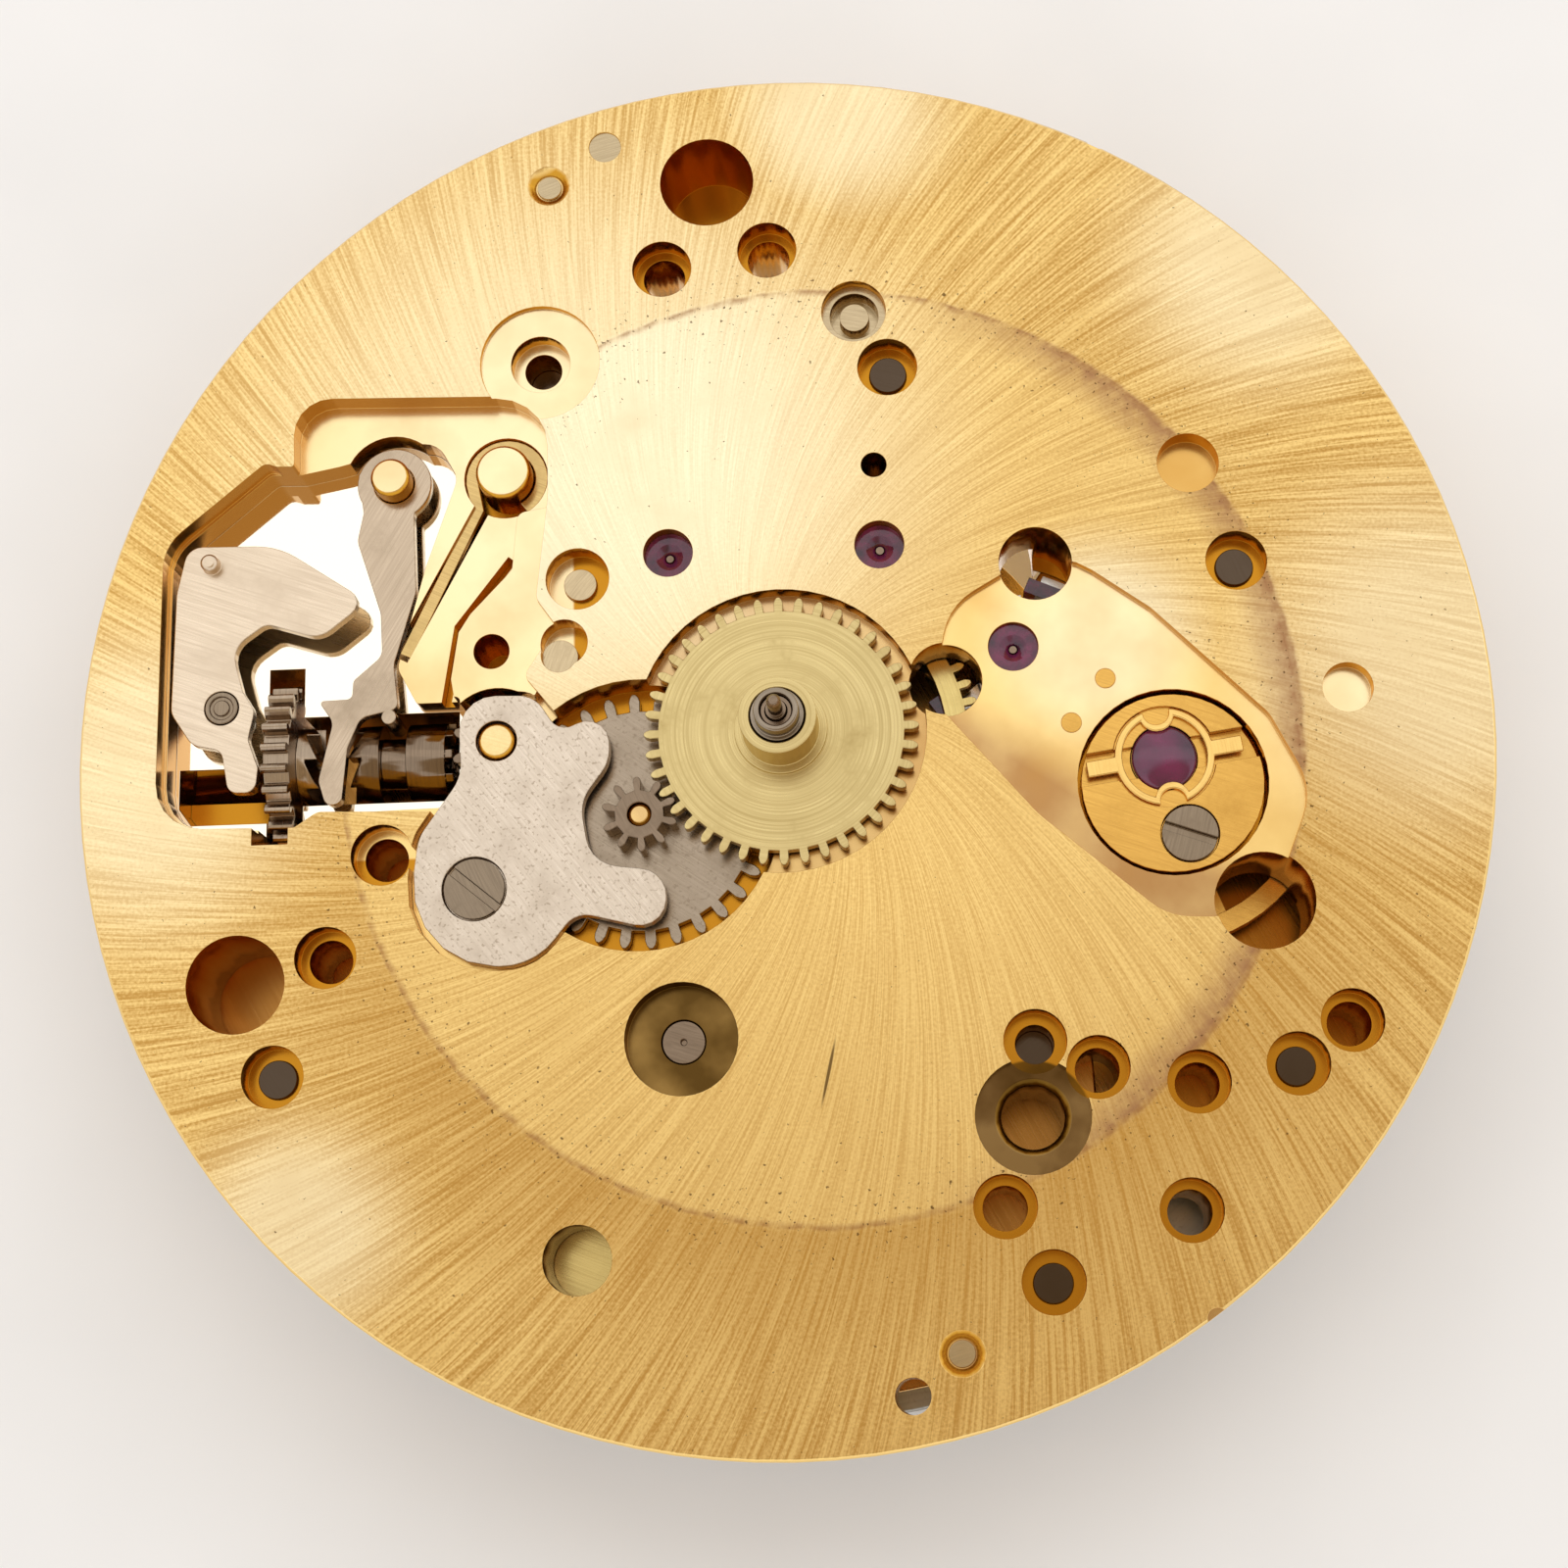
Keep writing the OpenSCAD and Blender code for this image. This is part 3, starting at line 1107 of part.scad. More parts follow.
module barrel_bridge() color("goldenrod") difference() {
    slab(bridge_z, seat_z) intersection() {
        circle(bridge_r);
        polygon(rounded(barrel_bridge_outline));
    }
    disc(seconds_tip_r + 0.35, -5, 0);
    winding_beds();
    at(barrel_at) disc(barrel_pivot_r + running, -5, 0);
    translate([slot_x0, -1.75, bridge_z - 1]) cube([slot_x1 - slot_x0, 3.5, bridge_t + 2]);
    for (p = barrel_screws_at) at(p) {
        disc(screw_r + 0.02, -5, 0);
        disc(screw_head_r + 0.04, bridge_z - 1, bridge_z + 0.35);
    }
    at(auto_screws_at[1]) disc(screw_r + 0.02, -5, 0);
    at(lever_at) {
        disc(0.36, -5, 0);
        disc(0.48, -5, bridge_z + 0.32);
    }
    at(crown_at) disc(0.45, -5, 0);
    at(click_at) disc(0.25, -5, 0);
    at(click_foot_at) disc(0.2, -5, 0);
}

module balance_cock() color("goldenrod") difference() {
    union() {
        slab(cock_low_z, cock_top_z) intersection() {
            polygon(rounded(cock_outline));
            circle(rotor_r - rotor_rim_w - 0.3);
        }
        slab(cock_top_z - 0.15, seat_z) polygon(rounded(cock_foot_outline));
        // Stud beside the hairspring's outer end
        at(balance_at + [hairspring_r + 0.17, 0]) disc(0.13, cock_top_z - 0.1, cock_top_z + 0.26);
    }
    at(balance_at) disc(setting_r, -5, 0);
    at(cock_screw_at) {
        disc(screw_r + 0.02, -5, 0);
        disc(screw_head_r + 0.04, -5, cock_top_z + 0.2);
    }
}

module regulator() color("silver") at(balance_at) slab(cock_low_z - 0.09, cock_low_z - 0.01) {
    difference() {
        union() {
            circle(setting_r + 0.42);
            rotate(30) polygon([[1.0, -0.35], [3.3, -0.12], [3.3, 0.12], [1.0, 0.35]]);
            rotate(-60) translate([0, -0.3]) square([2.0, 0.6]);
        }
        circle(setting_r + 0.14);
    }
}

module upper_shock_setting() color("gold") at(balance_at) {
    difference() {
        disc(setting_r, cock_low_z, cock_top_z);
        disc(0.5, cock_low_z - 1, cock_top_z - 0.12);
        disc(0.3, -5, 0);
    }
    rotate(60) slab(cock_low_z - 0.08, cock_low_z) difference() {
        circle(setting_r);
        circle(0.5);
    }
}

module bridge_jewels() color("purple") {
    for (p = [centre_at, third_at, escape_at]) at(p) mirror([0, 0, 1])
        hole_jewel(0.5, -relief_z + 0.02, -bridge_z - 0.05, pivot_r + running);
    at(pallet_at) mirror([0, 0, 1])
        hole_jewel(0.36, -pallet_seat_z + 0.02, -pallet_cock_low_z, pivot_r + running);
    at(balance_at) {
        mirror([0, 0, 1]) hole_jewel(0.5, -cock_top_z + 0.12, -cock_top_z + 0.36, 0.07);
        disc(0.5, cock_low_z, cock_top_z - 0.4);
    }
}

module back_screw(p, z, head_t, l) at(p) translate([0, 0, z]) mirror([0, 0, 1])
    screw(screw_head_r, head_t, screw_r, l, p.x * 37);

module bridge_screws() color("slategray") {
    for (p = [train_screw_at, barrel_screws_at[0], barrel_screws_at[1]])
        back_screw(p, bridge_z + 0.03, 0.32, bridge_t - 0.35 + plate_t - counterbore_depth + 0.1);
    for (p = [train_screw_2_at, barrel_screws_at[2]])
        back_screw(p, bridge_z + 0.03, 0.32, bridge_t - 0.35 + 0.85);
    back_screw(cock_screw_at, cock_top_z - 0.1, 0.3, 0.5 + plate_t - counterbore_depth + 0.1);
    for (i = [0:2])
        back_screw(auto_screws_at[i], auto_low_z + 0.02, 0.3, plate_t - counterbore_depth + 0.1 - seat_z
            - plate_t - auto_low_z - plate_t - (i == 0 ? 0.32 : 1.3));
    at(pallet_screw_at) translate([0, 0, pallet_cock_low_z - 0.16]) mirror([0, 0, 1])
        screw(0.5, 0.16, 0.24, 0.85, 30);
    // Broad screw that carries the crown wheel, and the click's screw
    at(crown_at) translate([0, 0, ratchet_low_z - 0.14]) mirror([0, 0, 1]) {
        screw(1.15, 0.12, 0.6, ratchet_t + 0.05, 25);
        disc(0.44, -0.75, -0.4);
    }
    at(click_at) translate([0, 0, ratchet_low_z - 0.12]) mirror([0, 0, 1])
        screw(0.5, 0.11, 0.24, ratchet_t + 0.45, 70);
}

module ratchet_wheel() color("silver") at(barrel_at) slab(ratchet_low_z, ratchet_top_z) difference() {
    teeth(ratchet_teeth, ratchet_m, 0, 0.9, 1.1, 0.46);
    square(0.84, center = true);
}

module ratchet_screw() color("slategray") at(barrel_at) translate([0, 0, ratchet_low_z - 0.16])
    mirror([0, 0, 1]) screw(1.1, 0.16, 0.25, 0.9, 110);

module crown_wheel() color("silver") at(crown_at) slab(ratchet_low_z, ratchet_top_z) difference() {
    teeth(crown_teeth, ratchet_m, crown_phase, 0.9, 2.3, 0.46);
    circle(0.6 + running);
}

module click() color("silver") slab(ratchet_low_z, ratchet_top_z) difference() {
    union() {
        at(click_at) circle(0.52);
        polygon([click_at + polar(0.5, heading(click_at, click_nose) + 80), click_nose,
            click_at + polar(0.5, heading(click_at, click_nose) - 60)]);
    }
    at(click_at) circle(0.24 + running);
}

// A curved blade with a foot pressed into the bridge
module click_spring() color("lightsteelblue") {
    slab(ratchet_low_z + 0.06, ratchet_top_z - 0.05)
        polygon(strip([for (a = [0:8:120]) click_at + [-1.0, 0.9] + polar(1.0, a - 18)], 0.12));
    at(click_foot_at) disc(0.2, ratchet_low_z + 0.02, bridge_z + 0.4);
}

// Automatic work

module arm_to(p, w) {
    rotate(heading(centre_at, p)) translate([0, 0.08 - w / 2]) square([norm(p), w - 0.16]);
    at(p) circle(w / 2);
}

module automatic_bridge() color("goldenrod") difference() {
    union() {
        slab(auto_low_z, auto_top_z) {
            circle(auto_r);
            for (p = auto_screws_at) arm_to(p, 2.2);
        }
        // Pillars down to the plate and the bridges; the one by the balance is slim
        for (i = [0, 1, 2]) at(auto_screws_at[i])
            disc(i == 0 ? 0.66 : 1.0, auto_top_z - 0.01, i == 0 ? seat_z : bridge_z);
    }
    for (p = auto_screws_at) at(p) {
        disc(screw_r + 0.02, -10, 0);
        disc(screw_head_r + 0.04, auto_low_z - 1, auto_low_z + 0.34);
    }
    // Sunk pockets for the reversing wheels and the rotor's gear
    for (p = [reverser_1_at, reverser_2_at]) at(p) {
        disc(rotor_gear_r + 0.35, auto_low_z - 1, auto_low_z + 0.32);
        disc(0.5, -10, 0);
    }
    disc(rotor_gear_r + 0.35, auto_low_z - 1, auto_low_z + 0.32);
    at(reduction_at) disc(pivot_r + running, -10, 0);
    disc(0.6, -10, 0);
}

module reversing_wheel(p, wheel_phase, leaf_phase) color("silver") at(p) difference() {
    union() {
        slab(auto_low_z + 0.06, auto_low_z + 0.24) teeth(rotor_teeth, rotor_module, wheel_phase);
        disc(0.46, auto_low_z + 0.24, auto_top_z);
        leaves(auto_leaves, reduction_m, auto_top_z, auto_top_z + 0.3, leaf_phase);
    }
    disc(0.2, auto_low_z - 1, auto_top_z + 1);
}

module reversing_wheel_1() reversing_wheel(reverser_1_at,
    mesh_phase(heading(centre_at, reverser_1_at), 0, rotor_teeth, rotor_teeth),
    mesh_phase(heading(reduction_at, reverser_1_at), 0, reduction_teeth, auto_leaves));

module reversing_wheel_2() reversing_wheel(reverser_2_at,
    mesh_phase(heading(centre_at, reverser_2_at), 0, rotor_teeth, rotor_teeth),
    mesh_phase(heading(reduction_at, reverser_2_at), 0, reduction_teeth, auto_leaves));

module reduction_wheel() color("khaki") at(reduction_at) {
    train_wheel(reduction_teeth, reduction_m, auto_top_z + 0.08, auto_top_z + 0.2, 0.3, 0, 4);
    leaves(auto_leaves, ratchet_m, ratchet_low_z, ratchet_top_z - 0.02,
        mesh_phase(heading(barrel_at, reduction_at), 0, ratchet_teeth, auto_leaves));
    disc(0.3, auto_top_z + 0.05, ratchet_low_z);
    disc(pivot_r, auto_top_z - 0.5, auto_top_z + 0.05);
    disc(pivot_r, ratchet_top_z - 0.02, relief_z - 0.03);
}

module rotor() color("silver") difference() {
    union() {
        disc(2.6, rotor_low_z, rotor_top_z);
        slab(rotor_top_z - rotor_t, rotor_top_z) difference() {
            intersection() {
                circle(rotor_r - rotor_rim_w);
                translate([-rotor_r, -rotor_r]) square([2 * rotor_r, rotor_r + 1.6]);
            }
            for (a = [-145, -90, -35]) rotate(a) translate([6.6, 0]) circle(1.6);
        }
        disc(1.3, rotor_top_z, rotor_gear_z);
        slab(rotor_gear_z, rotor_gear_z + 0.18) teeth(rotor_teeth, rotor_module);
    }
    disc(0.66, -10, 0);
    disc(1.62, -10, bearing_top_z);
}

// The tungsten rim, stepped where it takes the rotor's plate
module rotor_weight() color("darkgray") difference() {
    union() {
        rim_sector(rotor_r - rotor_rim_w, rotor_r, rotor_low_z, rotor_low_z + rotor_rim_h);
        rim_sector(rotor_r - rotor_rim_w - 0.7, rotor_r - 0.3, rotor_low_z + 0.2, rotor_top_z - rotor_t);
    }
}

module rim_sector(inner, outer, low, high) slab(low, high) difference() {
    circle(outer);
    circle(inner);
    for (s = [0, 1]) mirror([s, 0]) rotate(rotor_span / 2 - 90) square([20, 20]);
    translate([-20, 0]) square([40, 20]);
}

// Balls and outer race of the rotor's bearing
module rotor_bearing() color("lightsteelblue") {
    difference() {
        disc(1.62, bearing_low_z, bearing_top_z);
        disc(1.3, -10, 0);
    }
    for (i = [0:6]) rotate(i * 360 / 7) translate([1.08, 0, bearing_mid_z]) sphere(r = 0.17, $fn = 32);
}

// Axle with the bearing's cone, and the slotted head on it
module rotor_screw() color("slategray") {
    disc(0.6, bearing_top_z, auto_top_z);
    disc(0.86, bearing_low_z, bearing_top_z);
    translate([0, 0, rotor_low_z + 0.04]) mirror([0, 0, 1])
        screw(0.78, bearing_low_z - rotor_low_z - 0.04, 0.6, 0.1, 15);
}

main_plate();
plate_pins();
banking_pins();
hour_wheel();
cannon_pinion();
minute_wheel();
minute_pinion();
motion_cover();
setting_wheel();
winding_pinion();
sliding_pinion();
setting_lever();
setting_lever_screw();
yoke();
yoke_spring();
plate_jewels();
lower_shock_block();
dial_side_screws();
lower_cap_jewel();
lower_lyre_spring();
mainspring();
barrel_drum();
barrel_cover();
barrel_arbor();
centre_pinion();
centre_wheel();
third_pinion();
third_wheel();
seconds_pinion();
seconds_wheel();
escape_pinion();
escape_wheel();
pallet_arbor();
pallet_fork();
pallet_stones();
balance_staff();
balance_wheel();
roller();
hairspring();
pallet_cock();
train_bridge();
barrel_bridge();
balance_cock();
regulator();
upper_shock_setting();
bridge_jewels();
bridge_screws();
ratchet_wheel();
ratchet_screw();
crown_wheel();
click();
click_spring();
automatic_bridge();
reversing_wheel_1();
reversing_wheel_2();
reduction_wheel();
rotor();
rotor_weight();
rotor_bearing();
rotor_screw();
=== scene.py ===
"""Dresses an automatic watch movement that lies dial side up on a pale table.

Sizes and materials are in millimetres unless a name says otherwise, and Blender's
own units are metres. The hands' axis is the origin, +Z points out of the dial side
and the stem comes in along -X.
"""
from __future__ import annotations

import logging
import math
from dataclasses import dataclass, replace
from enum import Enum
from functools import cached_property
from typing import Any, Mapping, Sequence, Union

import bmesh
import bpy
from mathutils import Matrix, Vector

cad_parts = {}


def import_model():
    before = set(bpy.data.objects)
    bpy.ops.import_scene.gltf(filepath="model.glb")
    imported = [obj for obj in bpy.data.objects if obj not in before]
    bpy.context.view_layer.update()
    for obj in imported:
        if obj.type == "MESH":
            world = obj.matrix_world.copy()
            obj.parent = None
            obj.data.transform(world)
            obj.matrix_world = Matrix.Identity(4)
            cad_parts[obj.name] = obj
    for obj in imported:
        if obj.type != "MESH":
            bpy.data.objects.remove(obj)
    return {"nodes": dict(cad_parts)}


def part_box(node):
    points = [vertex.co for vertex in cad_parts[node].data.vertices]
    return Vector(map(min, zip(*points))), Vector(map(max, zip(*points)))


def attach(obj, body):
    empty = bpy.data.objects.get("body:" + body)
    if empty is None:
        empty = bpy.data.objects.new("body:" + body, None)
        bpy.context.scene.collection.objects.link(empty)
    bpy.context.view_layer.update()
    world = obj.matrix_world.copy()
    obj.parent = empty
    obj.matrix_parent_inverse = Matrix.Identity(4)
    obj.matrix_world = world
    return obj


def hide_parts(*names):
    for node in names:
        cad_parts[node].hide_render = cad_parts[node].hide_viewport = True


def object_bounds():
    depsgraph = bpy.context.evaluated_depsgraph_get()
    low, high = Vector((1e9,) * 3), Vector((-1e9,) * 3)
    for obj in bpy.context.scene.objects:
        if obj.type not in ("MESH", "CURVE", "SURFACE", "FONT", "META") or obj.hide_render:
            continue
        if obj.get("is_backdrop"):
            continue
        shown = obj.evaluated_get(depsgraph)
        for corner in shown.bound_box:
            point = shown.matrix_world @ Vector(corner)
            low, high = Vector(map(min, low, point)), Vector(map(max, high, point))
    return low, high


FRAME: dict[str, Any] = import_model()
LOG = logging.getLogger("movement")
Socket = bpy.types.NodeSocket
Spots = tuple[tuple[float, float, float], ...]
MM = 0.001
MICRON = 1e-6
BASE = "movement"
# Settings of nodes: a product, a map with soft ends, and a mix of colours with its output
TIMES: dict[str, Any] = {"operation": "MULTIPLY"}
SMOOTH: dict[str, Any] = {"interpolation_type": "SMOOTHSTEP"}
COLOURS: dict[str, Any] = {"data_type": "RGBA", "out": 2}


def linear(hex_code: str) -> tuple[float, float, float, float]:
    """Turns an sRGB hex colour to linear light.

    Args:
        hex_code: Colour such as "#d9b45c".

    Returns:
        Red, green, blue and an alpha of 1.
    """
    parts = [int(hex_code[i : i + 2], 16) / 255 for i in (1, 3, 5)]
    r, g, b = (p / 12.92 if p <= 0.04045 else ((p + 0.055) / 1.055) ** 2.4 for p in parts)
    return r, g, b, 1.0


def span(low: float, high: float, start: float = 0.0, end: float = 1.0) -> dict[str, float]:
    """Names the limits of a map from one range onto another.

    Args:
        low: Value that gives start.
        high: Value that gives end.
        start: Result at low.
        end: Result at high.

    Returns:
        The four limits, by the names of their sockets.
    """
    return {"From Min": low, "From Max": high, "To Min": start, "To Max": end}


def blend(share: Any, first: Any, second: Any) -> dict[int, Any]:
    """Fills the sockets of a mix of two colours, which have their names in common with others.

    Args:
        share: Share of the second colour.
        first: Colour at a share of 0.
        second: Colour at a share of 1.

    Returns:
        The three, by the numbers of their sockets.
    """
    return {0: share, 6: first, 7: second}


class Shader:
    """A material's or the world's node tree while it is being put together."""

    def __init__(self, owner: bpy.types.ID, output: str = "OutputMaterial") -> None:
        """Empties the owner's tree and gives it an output.

        Args:
            owner: Material or world.
            output: Kind of its output node.
        """
        self.owner = owner
        owner.use_nodes = True
        self.tree = owner.node_tree
        self.tree.nodes.clear()
        self.end = self.tree.nodes.new("ShaderNode" + output)

    def add(
        self,
        kind: str,
        sockets: Union[Sequence[Any], Mapping[Union[int, str], Any]] = (),
        out: Union[int, str] = 0,
        **settings: Any,
    ) -> Socket:
        """Adds a node with its settings and links.

        Args:
            kind: Kind of node, without its common prefix.
            sockets: Values, hex colours or links of its inputs, in order or by name.
            out: The output that is handed back.
            settings: Properties of the node.

        Returns:
            The chosen output.
        """
        node = self.tree.nodes.new("ShaderNode" + kind)
        for key, value in settings.items():
            setattr(node, key, value)
        pairs = sockets.items() if isinstance(sockets, Mapping) else enumerate(sockets)
        for key, value in pairs:
            if isinstance(value, Socket):
                self.tree.links.new(value, node.inputs[key])
            else:
                node.inputs[key].default_value = linear(value) if isinstance(value, str) else value
        return node.outputs[out]

    @cached_property
    def point(self) -> Socket:
        """The place on the object, in millimetres."""
        place = self.add("TexCoord", (), "Object")
        return self.add("VectorMath", {"Vector": place, "Scale": 1 / MM}, operation="SCALE")

    @cached_property
    def axes(self) -> list[Socket]:
        """X, Y and Z of that place."""
        return [self.add("SeparateXYZ", (self.point,), axis) for axis in "XYZ"]

    def away(self, x: float, y: float) -> Socket:
        """Measures how far that place lies from the upright line at x and y."""
        flat = self.add("VectorMath", (self.point, (1.0, 1.0, 0.0)), **TIMES)
        return self.add("VectorMath", (flat, (x, y, 0.0)), "Value", operation="DISTANCE")

    def close(self, surface: Socket) -> bpy.types.ID:
        """Links the surface to the output and hands the owner back."""
        self.tree.links.new(surface, self.end.inputs[0])
        return self.owner


class Lay(Enum):
    """How the marks of a tool run over a surface."""

    STRAIGHT = "straight"
    CIRCULAR = "circular"
    SWIRL = "swirl"


@dataclass(frozen=True)
class Grain:
    """Marks that a tool has left: their run, their real size and their depth."""

    lay: Lay = Lay.STRAIGHT
    width_mm: float = 0.05
    length_mm: float = 2.0
    turn: float = 0.0
    centre: tuple[float, float] = (0.0, 0.0)
    depth_um: float = 1.0
    reach_mm: float = 8.0

    def moved(self, s: Shader) -> Socket:
        """Puts the centre of the marks at the origin."""
        return s.add("VectorMath", (s.point, (-self.centre[0], -self.centre[1], 0.0)), operation="ADD")

    def lines(self, s: Shader) -> Socket:
        """Builds the marks' pattern.

        Args:
            s: Tree to build in.

        Returns:
            A socket round 0.5 that varies across the marks.
        """
        moved = self.moved(s)
        along, across = 1 / self.length_mm, 1 / self.width_mm
        if self.lay is Lay.STRAIGHT:
            turned = {"Vector": moved, "Angle": math.radians(self.turn)}
            turned = s.add("VectorRotate", turned, rotation_type="Z_AXIS")
            vector = s.add("VectorMath", (turned, (along, across, along)), **TIMES)
        elif self.lay is Lay.CIRCULAR:
            ring = s.add("Math", (s.away(*self.centre), across), **TIMES)
            stretched = s.add("VectorMath", (moved, (along, along, along)), **TIMES)
            side = [s.add("SeparateXYZ", (stretched,), i) for i in (0, 1)]
            vector = s.add("CombineXYZ", (ring, side[0], side[1]))
        else:
            vector = self.swirl(s, moved, along)
        return s.add("TexNoise", {"Vector": vector, "Scale": 1.0, "Detail": 4.0, "Roughness": 0.62})

    def swirl(self, s: Shader, moved: Any, along: float) -> Socket:
        """Lays the pattern's space out in arcs that leave the centre at a constant angle.

        Args:
            s: Tree to build in.
            moved: Point, seen from the centre.
            along: Steps per millimetre along a mark.

        Returns:
            The point in the pattern's space.
        """
        radius = s.away(*self.centre)
        x, y = (s.add("SeparateXYZ", (moved,), i) for i in (0, 1))
        angle = s.add("Math", (y, x), operation="ARCTAN2")
        log_r = s.add("Math", (radius, math.e), operation="LOGARITHM")
        twist = s.add("Math", (log_r, math.tan(math.radians(self.turn))), **TIMES)
        bent = s.add("Math", (angle, twist), operation="ADD")
        count = self.reach_mm / self.width_mm
        wave = [s.add("Math", (bent,), operation=how) for how in ("COSINE", "SINE")]
        pairs = ((wave[0], count), (wave[1], count), (radius, along))
        return s.add("CombineXYZ", [s.add("Math", pair, **TIMES) for pair in pairs])

    def tangent(self, s: Shader) -> Socket:
        """Gives the direction across the marks, along which they draw a highlight out.

        Args:
            s: Tree to build in.

        Returns:
            The direction, level with the dial.
        """
        turn = math.radians(self.turn)
        if self.lay is Lay.STRAIGHT:
            return s.add("CombineXYZ", (math.sin(turn), math.cos(turn), 0.0))
        flat = s.add("VectorMath", (self.moved(s), (1.0, 1.0, 0.0)), **TIMES)
        quarter = 0.0 if self.lay is Lay.CIRCULAR else math.pi / 2 - turn
        turned = s.add("VectorRotate", {"Vector": flat, "Angle": quarter}, rotation_type="Z_AXIS")
        return s.add("VectorMath", (turned,), operation="NORMALIZE")


@dataclass(frozen=True)
class Metal:
    """A worked metal: its colour, tarnish, gloss and tool marks."""

    name: str
    colour: str
    dark: str
    roughness: float = 0.3
    spread: float = 0.12
    grain: Grain = Grain()
    tarnish: float = 0.3
    patch_mm: float = 1.6
    streak: float = 0.35
    speck: float = 0.0
    anisotropy: float = 0.3
    # Height above which the metal is painted dark: painted shade on the sides that face the plate and on
    # screw ends deep in its open holes
    painted_shade_above_mm: float = 99.0
    painted_shade: str = "#4a3826"
    # Films of oil and tarnish, and grit, are finer than the render shows, so these stand for them
    film_mm: float = 0.11
    grit_mm: float = 0.07

    def build(self) -> bpy.types.Material:
        """Makes the material.

        Returns:
            The finished material.
        """
        s = Shader(bpy.data.materials.new(self.name))
        lines = self.grain.lines(s)
        patch = s.add("TexNoise", {"Vector": s.point, "Scale": 1 / self.patch_mm, "Detail": 3.0})
        fine = s.add("TexNoise", {"Vector": s.point, "Scale": 1 / self.film_mm, "Detail": 2.0})
        cloud = s.add("Math", (fine, 0.35, patch), operation="MULTIPLY_ADD")
        film = s.add("MapRange", {"Value": cloud, **span(0.55, 0.95, 0.0, self.tarnish)})
        streak = s.add("MapRange", {"Value": lines, **span(0.3, 0.7, 0.0, self.streak)})
        darkening = s.add("Math", (film, streak), operation="MAXIMUM")
        colour = s.add("Mix", blend(darkening, self.colour, self.dark), **COLOURS)
        if self.speck:
            grit = s.add("TexNoise", {"Vector": s.point, "Scale": 1 / self.grit_mm, "Detail": 1.0})
            dots = s.add("MapRange", {"Value": grit, **span(0.6, 0.7, 0.0, self.speck)})
            colour = s.add("Mix", blend(dots, colour, self.dark), **COLOURS)
        start = self.painted_shade_above_mm
        # Painted shade: darker above that height, where the parts lie under the plate
        painted_shade = s.add("MapRange", {"Value": s.axes[2], **span(start, start + 0.05, 0.0, 0.95)})
        colour = s.add("Mix", blend(painted_shade, colour, self.painted_shade), **COLOURS)
        both = s.add("Math", (s.add("Math", (lines, patch), operation="ADD"), 0.5), **TIMES)
        low, high = self.roughness - self.spread / 2, self.roughness + self.spread / 2
        gloss = s.add("MapRange", {"Value": both, **span(0.35, 0.65, low, high)})
        bump = s.add("Bump", {"Strength": 1.0, "Distance": self.grain.depth_um * MICRON, "Height": lines})
        values = {
            "Base Color": colour,
            "Metallic": 1.0,
            "Roughness": gloss,
            "Anisotropic": self.anisotropy,
            "Tangent": self.grain.tangent(s),
            "Normal": bump,
        }
        return s.close(s.add("BsdfPrincipled", values))


